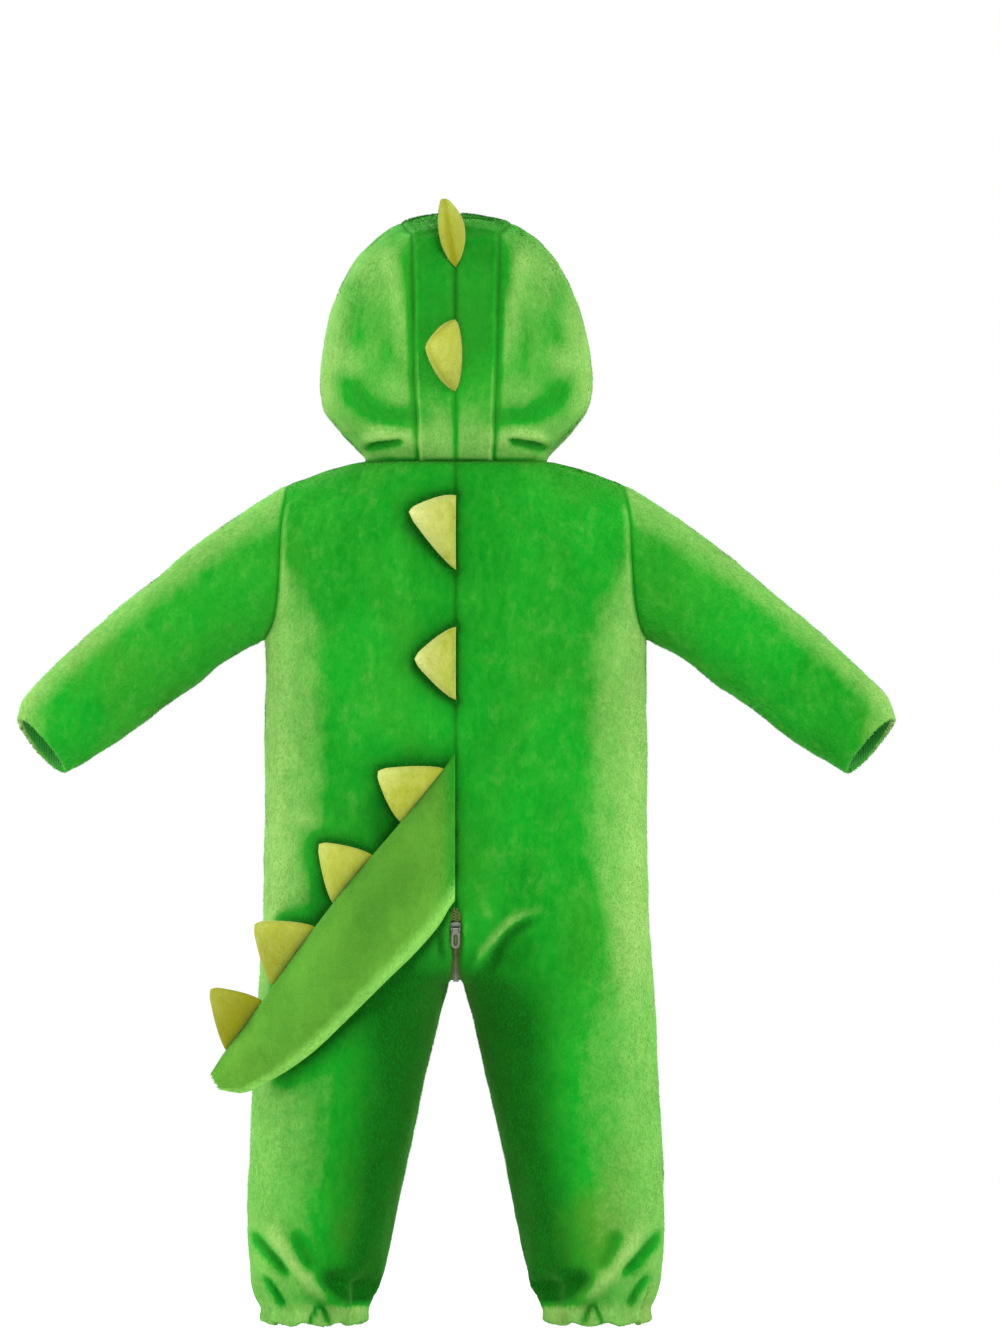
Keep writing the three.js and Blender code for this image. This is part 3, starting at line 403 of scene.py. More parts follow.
def gathered(points, turn, face, leg_middle):
    """Draws the leg's end into gathers round its elastic."""
    z = points[..., 2]
    pull = ramp(z, GATHERS.top, GATHERS.full)
    turn = turn if face > 0 else -turn
    wave = np.cos(GATHERS.waves * turn) + UNEVEN.share * np.cos(UNEVEN.waves * turn + UNEVEN.start)
    out = unit(np.stack([points[..., 0] - leg_middle, points[..., 1], 0 * z], -1))
    points = points + out * (wave * GATHERS.depth * pull)[..., None]
    points[..., 2] += ramp(z, GATHERS.full, HEM_Z) * GATHERS.scallop * (1 + np.cos(GATHERS.waves * turn))
    return points


ARMHOLE_ROWS = 36
ARMHOLE_CROWD = 0.6  # how much they crowd at both ends
TRUNK_LEVELS = joined(
    np.linspace(UNDERARM.z, SEAT.top, 26),
    np.linspace(SEAT.top, ZIP.back_top, 20),
    ZIP.back_top - ZIP.blend * np.linspace(0, 1, 5),
    mix(ZIP.back_top - ZIP.blend, CROTCH_Z, 1 - (1 - np.linspace(0, 1, 25)) ** 1.5),
    np.linspace(CROTCH_Z, -540, 31),
    np.linspace(-540, HEM_Z, 43),
)[1:]


def body_rows(face):
    places = BACK_PLACES if face > 0 else FRONT_PLACES
    top = top_edge(places, face)
    chest = at(SECTIONS, UNDERARM.z)
    depth = chest.back if face > 0 else chest.front
    edge = 0 if face > 0 else ZIP.half
    lengths = lengths_along(top)
    even = lengths / lengths[-1]
    t = np.linspace(0, 1, ARMHOLE_ROWS + 1)
    down = mix(t, (1 - np.cos(math.pi * t)) / 2, ARMHOLE_CROWD)[:, None]
    roll = dome(down / SHOULDER_ROLL, 2)
    shares = mix((top[:, 0] - edge) / (SHOULDER.x - edge), even, smooth(down / SPREAD))
    seam_x = at(ARMHOLE, down).x
    arm_end = ARMHOLE_DEPTH * (1 - down**ARMHOLE_ROUND) ** (1 / ARMHOLE_ROUND)
    spread = seam_x / (1 - (arm_end / depth) ** chest.power) ** (1 / chest.power)
    x = edge + (seam_x - edge) * shares
    full = depth * np.maximum(0, 1 - (x / spread) ** chest.power) ** (1 / chest.power)
    y, z = mix(top[:, 1], face * full, roll), mix(top[:, 2], UNDERARM.z, down)
    chest_rows = np.stack([x, y, z], -1)
    on_chest = (edge + (UNDERARM.x - edge) * even) / UNDERARM.x
    turns = np.arccos(np.minimum(1, on_chest ** (chest.power / 2)))
    levels = TRUNK_LEVELS[:, None]
    below = section(levels, places / SHOULDER_PLACE, face, turns / turns[0])
    return eased(np.concatenate([chest_rows, below]))


def eased(rows):
    """Rounds the crease where the legs start, away from the zip and the inner seams."""
    z, x = rows[..., 2], rows[..., 0]
    above, here, under = z[:-2], z[1:-1], z[2:]
    weight = smooth(1 - np.abs(here - CROTCH_Z) / EASE.high) * smooth((x[1:-1] - EASE.start) / EASE.wide)
    for _ in range(EASE.rounds):
        level = (rows[:-2, :, 1] * (here - under) + rows[2:, :, 1] * (above - here)) / (above - under)
        rows[1:-1, :, 1] += weight * (level - rows[1:-1, :, 1])
    return rows


def back_depth(x, z):
    """The depth of the body's back behind the side seam, or 0 beside it."""
    row = at(SECTIONS, np.minimum(z, UNDERARM.z))
    return depth_at(x, z, row, np.where(z <= CROTCH_Z, row.inner, 0), 1)


def back_seam_depth(z):
    z = np.asarray(z, float)
    low = section(np.minimum(z, UNDERARM.z), 0.0, 1, 1.0)[..., 1]
    high = mix(NECK.back, SECTIONS["back"][0], dome(z / UNDERARM.z / SHOULDER_ROLL, 2))
    return np.where(z <= UNDERARM.z, low, high)


def sleeve_rows(back, front):
    """Rings from the armhole seam that the two body panels give to the cuff."""
    seams = [rows[: ARMHOLE_ROWS + 1, -1] for rows in (back, front)]
    armhole = np.concatenate([seams[0], seams[1][::-1][1:-1]])
    upper, lower = armhole[0], armhole[ARMHOLE_ROWS]
    centre = (upper + lower) / 2
    half = upper - centre
    own = np.arccos(np.clip((armhole - centre) @ half / (half @ half), -1, 1))
    angles = np.where(np.arange(len(armhole)) <= ARMHOLE_ROWS, own, 2 * math.pi - own)
    even = 2 * math.pi * np.arange(len(armhole)) / len(armhole)
    rings = [armhole]
    for ring in range(1, len(SLEEVE["ring"]) + 1):
        row = at(SLEEVE, ring)
        ends = np.array([[row.upper_x, 0, row.upper_z], [row.lower_x, 0, row.lower_z]])
        middle = ends.mean(axis=0)
        across = ends[0] - middle
        outward = unit(np.array([across[2], 0, -across[0]]))
        turn = mix(angles, even, smooth(ring / 4))[:, None]
        side = np.array([0, row.depth, 0]) - outward * row.lead
        rings.append(middle + across * np.cos(turn) + side * np.sin(turn))
    return skin(rings, SKIN.sleeve)


def hood_rows():
    """Rows from the neck up, each from the strip's seam round to the face opening."""
    back = BACK_PLACES[(BACK_PLACES >= STRIP_PLACE) & (BACK_PLACES <= SIDE_PLACE)]
    front = FRONT_PLACES[FRONT_PLACES < SIDE_PLACE][::-1]
    rows = [neck(np.concatenate([neck_angle(back, 1), neck_angle(front, -1)]))]

    def arc(row, x, y, z, shares):
        end = np.arccos((x / row.wide) ** (HOOD_POWER / 2))
        turn = end * shares
        rise = (np.sin(turn) / np.sin(end)) ** HOOD_LIFT
        reach = (y - row.wide_y) / np.sin(end) ** (2 / HOOD_POWER)
        return np.stack([row.wide * np.cos(turn) ** (2 / HOOD_POWER),
                         row.wide_y + reach * np.sin(turn) ** (2 / HOOD_POWER),
                         mix(row.wide_z, z, rise)], -1)

    behind = 1 - (back - STRIP_PLACE) / (SIDE_PLACE - STRIP_PLACE)
    ahead = 1 - front / SIDE_PLACE
    for index in range(1, len(HOOD["row"])):
        row = at(HOOD, index)
        rows.append(np.concatenate([arc(row, row.seam_x, row.seam_y, row.seam_z, behind),
                                    arc(row, row.rim_x, row.rim_y, row.rim_z, ahead)]))
    return skin(rows, SKIN.hood)


def strip_rows(side):
    """From the neck up the side panels' back edges and forward along their top edges."""
    seam = np.concatenate([side[:, 0], side[-1, 1:]])
    lean = np.gradient(seam, axis=0)
    out = unit(np.stack([0 * lean[:, 0], lean[:, 2], -lean[:, 1]], -1))
    crown, end = STRIP.steps
    steps = joined(np.linspace(0, crown, len(side)), np.linspace(crown, end, side.shape[1]))
    bulge = mix(STRIP.bulge, STRIP.crown_bulge, np.sin(math.pi * steps / end))
    share = (STRIP_PLACES / STRIP_PLACE)[None, :, None]
    rows = seam[:, None] * np.concatenate([share, 0 * share + 1, 0 * share + 1], -1)
    rows = rows + (out * bulge[:, None])[:, None] * (1 - share**2)
    start = neck(neck_angle(STRIP_PLACES, 1))
    ease = smooth(np.arange(len(rows)) / 4)[:, None, None]
    rows[:5] = mix(rows[:5] + (start - rows[0]), rows[:5], ease[:5])
    return rows, seam, out, bulge


def tail_place(along, across):
    """The tail's middle sheet between its edges, and half its thickness there."""
    row = at(TAIL, along)
    lies = np.max([back_depth(mix(row.lower_x, row.upper_x, t), mix(row.lower_z, row.upper_z, t))
                   for t in np.linspace(0, 1, 5)], axis=0)
    y = np.maximum(lies + TAIL_CLEAR + row.half, TAIL_LEAST_Y)
    t = (1 + across) / 2
    points = np.stack([mix(row.lower_x, row.upper_x, t), y + 0 * t, mix(row.lower_z, row.upper_z, t)], -1)
    swell = np.maximum(0, 1 - across * across) ** TAIL_ROUNDNESS
    return points, TAIL_EDGE + np.maximum(0, row.half - TAIL_EDGE) * swell


def hood_centre(place):
    """The middle of the hood's strip at heights up its back."""
    rising = HOOD_LINE[: int(np.argmax(HOOD_LINE[:, 2])) + 1]
    return np.stack([0 * place] + [np.interp(place, rising[:, 2], rising[:, k]) for k in (1, 2)], -1)


def spine_base(spine, share):
    place = mix(spine.base[0], spine.base[1], share)
    if spine.on == "hood":
        return hood_centre(place)
    if spine.on == "back":
        return np.stack([0 * place, back_seam_depth(place), place], -1)
    return tail_place(place, 1 + 0 * place)[0]


def spine_sheets(spine):
    """A stuffed leaf from its sewn base to its rounded tip, as two sheets a thickness apart."""
    first, middle, last = (spine_base(spine, np.array(share)) for share in (0.0, 0.5, 1.0))
    tip = np.array(spine.tip, float)
    if spine.on == "tail":
        tip[1] = middle[1]
    away = tip - middle
    across = np.array([1.0, 0, 0]) if spine.on == "hood" else np.array([0, 1.0, 0])
    t = (1 - (1 - np.linspace(0, 1, LEAF.rows)) ** LEAF.crowd)[:, None]
    rounding = np.clip((t - LEAF.round_from) / (1 - LEAF.round_from), 0, 0.97)
    width = mix(1, LEAF.tip_width, t**LEAF.taper) * np.sqrt(1 - rounding**2)
    rise = mix(LEAF.base_thick, 1, dome(t / LEAF.fat_from, 2))
    swell = rise * mix(1, LEAF.tip_thick, t**LEAF.thinning)
    w = np.linspace(0, 1, LEAF.columns)
    share = (1 - np.cos(math.pi * w)) / 2
    foot = spine_base(spine, share)
    points = middle + (foot - middle) * width[..., None] + away * t[..., None]
    around = np.maximum(LEAF.edge_thick, np.abs(np.sin(math.pi * w)) ** LEAF.roundness)
    half = 0.5 * spine.thick * swell * around
    if spine.on == "back":
        lies = np.maximum(back_depth(points[..., 0], points[..., 2]),
                          back_seam_depth(points[..., 2]) - SEAM_STAND * t)
        points[..., 1] = lies + spine.gap + half + LEAF.lift * t * t
    else:
        points = points + unit(away) * spine.gap
    return points + across * half[..., None], points - across * half[..., None]


# Meshes
def side_distances(grid):
    """How far each point of a grid is along the cloth from each of its sides."""
    across = np.linalg.norm(np.diff(grid, axis=1), axis=2).cumsum(axis=1)
    across = np.concatenate([0 * across[:, :1], across], axis=1)
    down = np.linalg.norm(np.diff(grid, axis=0), axis=2).cumsum(axis=0)
    down = np.concatenate([0 * down[:1], down])
    return {"left": across, "right": across[:, -1:] - across, "top": down, "bottom": down[-1:] - down}


def grid_normals(grid, closed, outward):
    down = np.gradient(grid, axis=0)
    across = np.roll(grid, -1, 1) - np.roll(grid, 1, 1) if closed else np.gradient(grid, axis=1)
    normals = unit(np.cross(across, down))
    return normals * np.sign(np.sum(normals * outward))


def share_seams(panels):
    """Where panels meet at a seam, they get the same normals, and these fade into their own."""
    rims = []
    for panel in panels:
        rim = np.zeros(panel.grid.shape[:2], bool)
        for side in panel.sides:
            rim[EDGES[side]] = True
        rims.append(rim)
    keys = np.concatenate([np.round(p.grid[rim] / SAME_PLACE) for p, rim in zip(panels, rims)]).astype(int)
    _, which = np.unique(keys, axis=0, return_inverse=True)
    which = which.ravel()
    sums = np.zeros((which.max() + 1, 3))
    np.add.at(sums, which, np.concatenate([p.normals[rim] for p, rim in zip(panels, rims)]))
    shared, start = unit(sums)[which], 0
    for panel, rim in zip(panels, rims):
        count = int(rim.sum())
        panel.normals[rim] = shared[start:start + count]
        start += count
        panel.normals = softened(panel.normals, panel.closed)


def softened(normals, closed, rounds=8):
    for _ in range(rounds):
        wide = np.concatenate([normals[:, -1:], normals, normals[:, :1]], axis=1) if closed else normals
        near = wide[:-2, 1:-1] + wide[2:, 1:-1] + wide[1:-1, :-2] + wide[1:-1, 2:]
        inside = unit(wide[1:-1, 1:-1] * 4 + near)
        if closed:
            normals[1:-1] = inside
        else:
            normals[1:-1, 1:-1] = inside
    return normals


def fold_offset(panel, folds, face):
    """How far the folds that show from one face move each point along its normal."""
    middle = np.array([CAMERA.x * face, CAMERA.z])
    scale = CAMERA.y / (CAMERA.y - face * panel.grid[..., 1])
    seen = middle + (panel.grid[..., [0, 2]] - middle) * scale[..., None]
    total = np.zeros(seen.shape[:-1])
    for rise, wide, both, *places in folds:
        for side in (1, -1) if both else (1,):
            near, along = to_line(seen, np.array(places, float) * [side, 1])
            ends = smooth(np.minimum(along, 1 - along) / FOLD_END)
            total += rise * ends * np.exp(-((near / wide) ** 2))
    return total * ramp(panel.normals[..., 1] * face, *FOLD_FACING)


def to_line(places, line):
    """The distance from each place to a line of points, and the share of the line's length where it is."""
    legs, starts = np.diff(line, axis=0), lengths_along(line)
    best, share = np.full(places.shape[:-1], 1e9), np.zeros(places.shape[:-1])
    for start, leg, so_far in zip(line[:-1], legs, starts):
        length = np.linalg.norm(leg)
        t = np.clip((places - start) @ leg / length**2, 0, 1)
        near = np.linalg.norm(places - start - leg * t[..., None], axis=-1)
        closer = near < best
        share = np.where(closer, (so_far + t * length) / starts[-1], share)
        best = np.where(closer, near, best)
    return best, share


def seam_profile(panel):
    """How near each point is to a seam and to the top of a ridge beside one, from 0 to 1."""
    away = side_distances(panel.grid)
    near = np.zeros(panel.grid.shape[:2])
    ridge = np.zeros(panel.grid.shape[:2])
    for side, kind in panel.sides.items():
        if kind in ("seam", "ridge"):
            sewn = 1 - zipped(panel) if side == "left" else 1
            near = np.maximum(near, sewn * np.exp(-((away[side] / SEAM_DIP.wide) ** 2)))
        if kind == "ridge":
            ridge = np.maximum(ridge, np.exp(-(((away[side] - SEAM_RIDGE.at) / SEAM_RIDGE.wide) ** 2)))
    return near, ridge


def zipped(panel):
    """From 0 where a row of a panel starts at a seam to 1 where it starts at the zip."""
    if panel.kind not in ("back", "front"):
        return 0
    start = panel.grid[:, :1]
    return smooth(np.abs(start[..., 0]) / ZIP.half) * smooth((start[..., 2] - CROTCH_Z) / ZIP.blend)


def shell(outer, inner, out_way, closed=False, bulge=None):
    """Points and faces of a closed wall between two grids, each face's kind, 0 outside and 1 inside, and the
    grid point that each point comes from. The rim is rounded, and bulge is how far it stands out of the edge.
    Faces point out of the outer grid, whose normals are given."""
    rows, columns = outer.shape[:2]
    index = np.arange(rows * columns).reshape(rows, columns)
    wrap = closed_up(index, closed)
    quads = np.stack([wrap[:-1, :-1], wrap[1:, :-1], wrap[1:, 1:], wrap[:-1, 1:]], -1).reshape(-1, 4)
    count = rows * columns
    loops = ([wrap[0], wrap[-1][::-1]] if closed else
             [np.concatenate([index[0], index[1:, -1], index[-1, -2::-1], index[-2::-1, 0]])])
    points = [outer.reshape(-1, 3), inner.reshape(-1, 3)]
    faces = [quads, quads[:, ::-1] + count]
    kinds = [np.zeros(len(quads), int), np.ones(len(quads), int)]
    source = [np.arange(count), np.arange(count)]
    made = 2 * count
    flat_outer, flat_inner = points
    inward = inward_neighbours(outer, closed)
    for loop in loops:
        ring = loop[:-1]
        o, i = flat_outer[ring], flat_inner[ring]
        edge = unit(o - inward.reshape(-1, 3)[ring])
        stand = 0 if bulge is None else bulge.reshape(-1)[ring][:, None]
        last = ring
        for step in range(1, RIM.steps + 1):
            turn = math.pi * step / RIM.steps
            if step < RIM.steps:
                points.append((o + i) / 2 + (o - i) / 2 * math.cos(turn) + edge * stand * math.sin(turn))
                here = np.arange(made, made + len(ring))
                source.append(ring)
                made += len(ring)
            else:
                here = ring + count
            a, b = last, here
            faces.append(np.stack([a, np.roll(a, -1), np.roll(b, -1), b], -1))
            kinds.append(np.zeros(len(ring), int))
            last = here
    faces, kinds = np.concatenate(faces), np.concatenate(kinds)
    r, c = rows // 2, columns // 2
    turned = np.cross(outer[r + 1, c] - outer[r, c], outer[r, c + 1] - outer[r, c])
    if turned @ out_way[r, c] < 0:
        faces = faces[:, ::-1]
    return np.concatenate(points), faces, kinds, np.concatenate(source)


def inward_neighbours(grid, closed):
    inward = grid.copy()
    if not closed:
        inward[:, 0], inward[:, -1] = grid[:, 1], grid[:, -2]
    inward[0], inward[-1] = grid[1], grid[-2]
    return inward


def link(name, data):
    made = bpy.data.objects.new(name, data)
    bpy.context.scene.collection.objects.link(made)
    return made


def make_object(name, points, faces, materials, kinds=None, smooth_faces=True):
    """A mesh object in metres from points in millimetres."""
    mesh = bpy.data.meshes.new(name)
    mesh.vertices.add(len(points))
    mesh.vertices.foreach_set("co", (points * MM).astype(np.float32).ravel())
    mesh.loops.add(faces.size)
    mesh.loops.foreach_set("vertex_index", faces.astype(np.int32).ravel())
    mesh.polygons.add(len(faces))
    mesh.polygons.foreach_set("loop_start", np.arange(0, faces.size, faces.shape[1], dtype=np.int32))
    mesh.update(calc_edges=True)
    if kinds is not None:
        mesh.polygons.foreach_set("material_index", kinds.astype(np.int32))
    mesh.polygons.foreach_set("use_smooth", np.full(len(faces), smooth_faces))
    for material in materials:
        mesh.materials.append(material)
    return link(name, mesh)


def declare(made, body, slot, *nodes):
    """What a piece rides on, and the nodes of the model that it replaces, which it hides. slot is not used.
    """
    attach(made, body)
    if nodes:
        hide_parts(*nodes)


def set_attribute(made, name, values):
    attribute = made.data.attributes.new(name, "FLOAT", "POINT")
    attribute.data.foreach_set("value", np.asarray(values, np.float32).ravel())


def closed_up(part, closed):
    return np.concatenate([part, part[:, :1]], axis=1) if closed else part


def cell_areas(grid):
    sides = np.diff(grid, axis=0)[:, :-1], np.diff(grid, axis=1)[:-1]
    return np.linalg.norm(np.cross(*sides), axis=2)


def scattered(grid, normals, lies, keep, shade, density, closed, rng):
    """Places spread evenly over a grid, with their normals, how the pile lies, its length and its shade."""
    parts = [closed_up(part, closed) for part in (grid, normals, lies, keep, shade)]
    grid, normals, lies, keep, shade = parts
    areas = cell_areas(grid).ravel()
    count = int(areas.sum() * density)
    cells = rng.choice(len(areas), count, p=areas / areas.sum())
    r, c = np.divmod(cells, grid.shape[1] - 1)
    u, v = rng.random(count), rng.random(count)

    def read(part):
        weight = [(1 - u) * (1 - v), (1 - u) * v, u * (1 - v), u * v]
        corners = [part[r, c], part[r, c + 1], part[r + 1, c], part[r + 1, c + 1]]
        return sum(w.reshape((-1,) + (1,) * (part.ndim - 2)) * corner for w, corner in zip(weight, corners))

    return read(grid), unit(read(normals)), unit(read(lies)), read(keep), read(shade)


def make_fur(name, parts, sizes, material, seed):
    """Short pile: blades that lean the way the pile lies, joined in one mesh. It casts no shadow, so it takes
    no light from the cloth that it stands on."""
    rng = np.random.default_rng(seed)
    points, normals, lies, keep, shade = (np.concatenate(part) for part in zip(*parts))
    count = len(points)
    swirl = sizes.swirl * waves(points, sizes.patch, 11) + rng.normal(0, sizes.spread, count)
    flat = unit(lies - normals * np.sum(lies * normals, axis=1, keepdims=True))
    side = np.cross(normals, flat)
    lie = flat * np.cos(swirl)[:, None] + side * np.sin(swirl)[:, None]
    lean = sizes.lean + BLADES.lean_waves * waves(points, sizes.patch * BLADES.patches, 12)
    lean = np.clip(lean + rng.normal(0, BLADES.lean_spread, count), *BLADES.lean)
    stem = normals * np.cos(lean)[:, None] + lie * np.sin(lean)[:, None]
    twist = rng.normal(0, BLADES.twist, count)[:, None]
    broad = np.cross(normals, lie)
    broad = broad * np.cos(twist) + np.cross(stem, broad) * np.sin(twist)
    long = (sizes.long * keep * rng.uniform(*BLADES.long, count))[:, None]
    half = (sizes.wide / 2 * (0.5 + 0.5 * keep) * rng.uniform(*BLADES.wide, count))[:, None]
    root = points - normals * sizes.root
    corners = np.stack([root + broad * half, root - broad * half, root + stem * long], 1)
    made = make_object(name, corners.reshape(-1, 3), np.arange(3 * count).reshape(-1, 3), [material])
    made.visible_shadow = False
    set_attribute(made, "tip", np.tile([0, 0, 1], count))
    set_attribute(made, "tone", np.repeat(rng.random(count), 3))
    set_attribute(made, "shade", np.repeat(shade, 3))
    stand = unit(normals + sizes.uneven * rng.normal(size=(count, 3)))
    smooth_normals = made.data.attributes.new("custom_normal", "FLOAT_VECTOR", "POINT")
    smooth_normals.data.foreach_set("vector", np.repeat(stand, 3, axis=0).astype(np.float32).ravel())
    cells = math.ceil(math.sqrt(count))
    cell = np.stack(np.divmod(np.arange(count), cells), -1)[:, None]
    spots = (cell + np.array([[0.1, 0.1], [0.9, 0.1], [0.5, 0.9]])) / cells
    made.data.uv_layers.new(name="OFBake").data.foreach_set("uv", spots.astype(np.float32).ravel())
    return made


# Materials
def srgb(*levels):
    """A colour from the 0 to 255 levels that a screen shows."""
    return tuple((c / 255 / 12.92 if c <= 10 else ((c / 255 + 0.055) / 1.055) ** 2.4) for c in levels) + (1,)


class Paint:
    """A new material and its nodes. What goes into a node is a value or another node's output."""

    def __init__(self, name):
        self.material = bpy.data.materials.new(name)
        self.material.use_nodes = True
        self.tree = self.material.node_tree
        self.bsdf = self.tree.nodes["Principled BSDF"]

    def feed(self, node, inputs):
        for key, value in inputs.items():
            if isinstance(value, bpy.types.NodeSocket):
                self.tree.links.new(value, node.inputs[key])
            else:
                node.inputs[key].default_value = value

    def add(self, kind, inputs, output=0, **settings):
        node = self.tree.nodes.new("ShaderNode" + kind)
        for key, value in settings.items():
            setattr(node, key, value)
        self.feed(node, inputs)
        return node.outputs[output]

    def own_place(self):
        return self.add("TexCoord", {}, "Object")

    def coordinate(self, axis):
        return self.add("SeparateXYZ", {0: self.own_place()}, axis)

    def maths(self, operation, first, second=0.0):
        return self.add("Math", {0: first, 1: second}, operation=operation)

    def noise(self, down, scale, detail=2.0, roughness=0.5):
        """Noise whose height is scaled by down, so below 1 its patches are longer down the cloth."""
        place = self.add("Mapping", {"Vector": self.own_place(), "Scale": (1, 1, down)}, "Vector")
        inputs = {"Vector": place, "Scale": scale, "Detail": detail, "Roughness": roughness}
        return self.add("TexNoise", inputs, "Fac")

    def ribs(self, axis, scale, distortion, detail=2.0):
        inputs = {"Vector": self.own_place(), "Scale": scale, "Distortion": distortion, "Detail": detail}
        return self.add("TexWave", inputs, "Fac", bands_direction=axis)

    def between(self, value, low, high):
        """A value's place between two limits, from 0 to 1."""
        inputs = {"Value": value, "From Min": low, "From Max": high}
        return self.add("MapRange", inputs, interpolation_type="SMOOTHSTEP")

    def blend(self, share, first, second, much=1.0):
        if much != 1:
            share = self.maths("MULTIPLY", share, much)
        return self.add("Mix", {0: share, 6: first, 7: second}, 2, data_type="RGBA")

    def attribute(self, name):
        return self.add("Attribute", {}, "Fac", attribute_name=name)

    def bump(self, height, strength, distance):
        inputs = {"Height": height, "Strength": strength, "Distance": distance}
        self.feed(self.bsdf, {"Normal": self.add("Bump", inputs, "Normal")})

    def finish(self, inputs):
        self.feed(self.bsdf, inputs)
        return self.material


# dark and pale are the colours of the painted shade and the painted light; glow tints the shader's own sheen
PLUSH = Sizes(deep=srgb(1, 128, 18), body=srgb(3, 144, 27), light=srgb(60, 160, 44), dull=srgb(80, 126, 34),
              dark=srgb(0, 78, 2), tip=srgb(24, 168, 44), pale=srgb(184, 208, 124), glow=srgb(120, 226, 84),
              grain=0.24, tips=0.6)
TAIL_PLUSH = Sizes(deep=srgb(74, 134, 38), body=srgb(88, 150, 46), light=srgb(104, 162, 54),
                   dull=srgb(98, 134, 42), dark=srgb(24, 92, 10), tip=srgb(108, 172, 62),
                   pale=srgb(144, 208, 96), glow=srgb(120, 226, 80), grain=0.24, tips=0.6)
SPINE_PLUSH = Sizes(deep=srgb(142, 150, 30), body=srgb(160, 170, 60), light=srgb(176, 186, 92),
                    dull=srgb(158, 158, 44), dark=srgb(122, 124, 0), tip=srgb(180, 190, 96),
                    pale=srgb(208, 212, 146), glow=srgb(250, 246, 190), grain=0.4, tips=0.5)
# Patches where the pile lies over, one on the other. Without much, the plush's own grain says how much.
PATCHES = [
    Sizes(colour="body", noise=(0.55, 13, 3, 0.5), limits=(0.38, 0.62), much=1),
    Sizes(colour="light", noise=(0.3, 38, 3, 0.55), limits=(0.5, 0.74), much=0.3),
    Sizes(colour="dull", noise=(0.55, 16, 2, 0.5), limits=(0.46, 0.7), much=0.75),
    Sizes(colour="light", noise=(0.55, 190, 3, 0.6), limits=(0.3, 0.7), much=None),
]
# The painted light and shade are mottled with flecks
MOTTLE = Sizes(noise=(0.7, 85, 5, 0.72), middle=0.52, much=0.4)  # flecks in the shade
FIBRES = Sizes(noise=(0.6, 620, 4, 0.7), strength=0.5, distance=0.0008)
TAIL_ROOT = (0.0, 0.016)  # over which x, in metres, the tail turns from the body's colour into its own
HEM_WEAR = (-0.44, -0.585)  # over which z, in metres, the legs turn duller
CUFF_WEAR = (0.2, 0.3)  # over which distance from the middle, in metres, the sleeves turn duller
WEAR_ALL_OVER = 0.22
TIP_FADE = 1.6
DEEP_BLADES = 0.24


def plush_colour(paint, colours):
    """Patches all over, duller at the cuffs and the legs' ends."""
    at_cuff = paint.between(paint.maths("ABSOLUTE", paint.coordinate("X")), *CUFF_WEAR)
    worn = paint.maths("MAXIMUM", paint.between(paint.coordinate("Z"), *HEM_WEAR), at_cuff)
    worn = paint.maths("ADD", worn, WEAR_ALL_OVER)
    colour = colours.deep
    for patch in PATCHES:
        share = paint.between(paint.noise(*patch.noise), *patch.limits)
        if patch.colour == "dull":
            share = paint.maths("MULTIPLY", share, worn)
        colour = paint.blend(share, colour, getattr(colours, patch.colour), patch.much or colours.grain)
    return colour


def shaded(paint, colour, colours):
    """Painted light and shade: paler or darker by the mesh's own shade, from -1 to 1, and mottled."""
    mottled = paint.maths("SUBTRACT", paint.noise(*MOTTLE.noise), MOTTLE.middle)
    shade = paint.maths("ADD", paint.attribute("shade"), paint.maths("MULTIPLY", mottled, MOTTLE.much))
    colour = paint.blend(shade, colour, colours.dark, -1)
    return paint.blend(shade, colour, colours.pale)


def plush(name, colours):
    """The cloth under the pile, and the pile's blades, paler towards their tips."""
    made = []
    for part in ("ground", "pile"):
        paint = Paint(f"{name}_{part}")
        colour = plush_colour(paint, colours)
        if colours is TAIL_PLUSH:
            from_root = paint.between(paint.coordinate("X"), *TAIL_ROOT)
            colour = paint.blend(from_root, plush_colour(paint, PLUSH), colour)
        colour = shaded(paint, colour, colours)
        if part == "ground":
            paint.bump(paint.noise(*FIBRES.noise), FIBRES.strength, FIBRES.distance)
        else:
            tip = paint.maths("POWER", paint.attribute("tip"), TIP_FADE)
            colour = paint.blend(tip, colour, colours.tip, colours.tips)
            colour = paint.blend(paint.attribute("tone"), colour, colours.deep, DEEP_BLADES)
        made.append(paint.finish({
            "Base Color": colour, "Roughness": 0.95, "Specular IOR Level": 0.1,
            "Sheen Weight": 0.32, "Sheen Roughness": 0.5, "Sheen Tint": colours.glow}))
    return made


def lining():
    """A fine jersey with its loops in upright ribs."""
    paint = Paint("lining_jersey")
    ribs = paint.ribs("X", 180, 1.2, 1)
    worn = paint.between(paint.noise(1, 22, 3), 0.35, 0.65)
    colour = paint.blend(worn, srgb(14, 136, 30), srgb(34, 154, 42))
    colour = paint.blend(ribs, colour, srgb(4, 108, 16), 0.35)
    paint.bump(ribs, 0.5, 0.0005)
    return paint.finish({"Base Color": colour, "Roughness": 0.9, "Sheen Weight": 0.2})


def woven_tape():
    paint = Paint("zip_tape_weave")
    rows = paint.ribs("Z", 420, 0.6)
    paint.bump(rows, 0.6, 0.0003)
    colour = paint.blend(rows, srgb(58, 84, 14), srgb(92, 120, 30))
    return paint.finish({"Base Color": colour, "Roughness": 0.85})


def tooth_plastic():
    paint = Paint("zip_teeth_plastic")
    worn = paint.between(paint.noise(1, 90, 3), 0.35, 0.65)
    colour = paint.blend(worn, srgb(64, 78, 18), srgb(92, 102, 34))
    return paint.finish({"Base Color": colour, "Roughness": 0.42})


def nickel():
    paint = Paint("zip_nickel")
    grain = paint.noise(0.2, 900, 4, 0.6)
    rough = paint.add("MapRange", {"Value": grain, "To Min": 0.24, "To Max": 0.46})
    colour = paint.blend(grain, srgb(92, 94, 88), srgb(140, 140, 132))
    return paint.finish({"Base Color": colour, "Roughness": rough, "Metallic": 1})


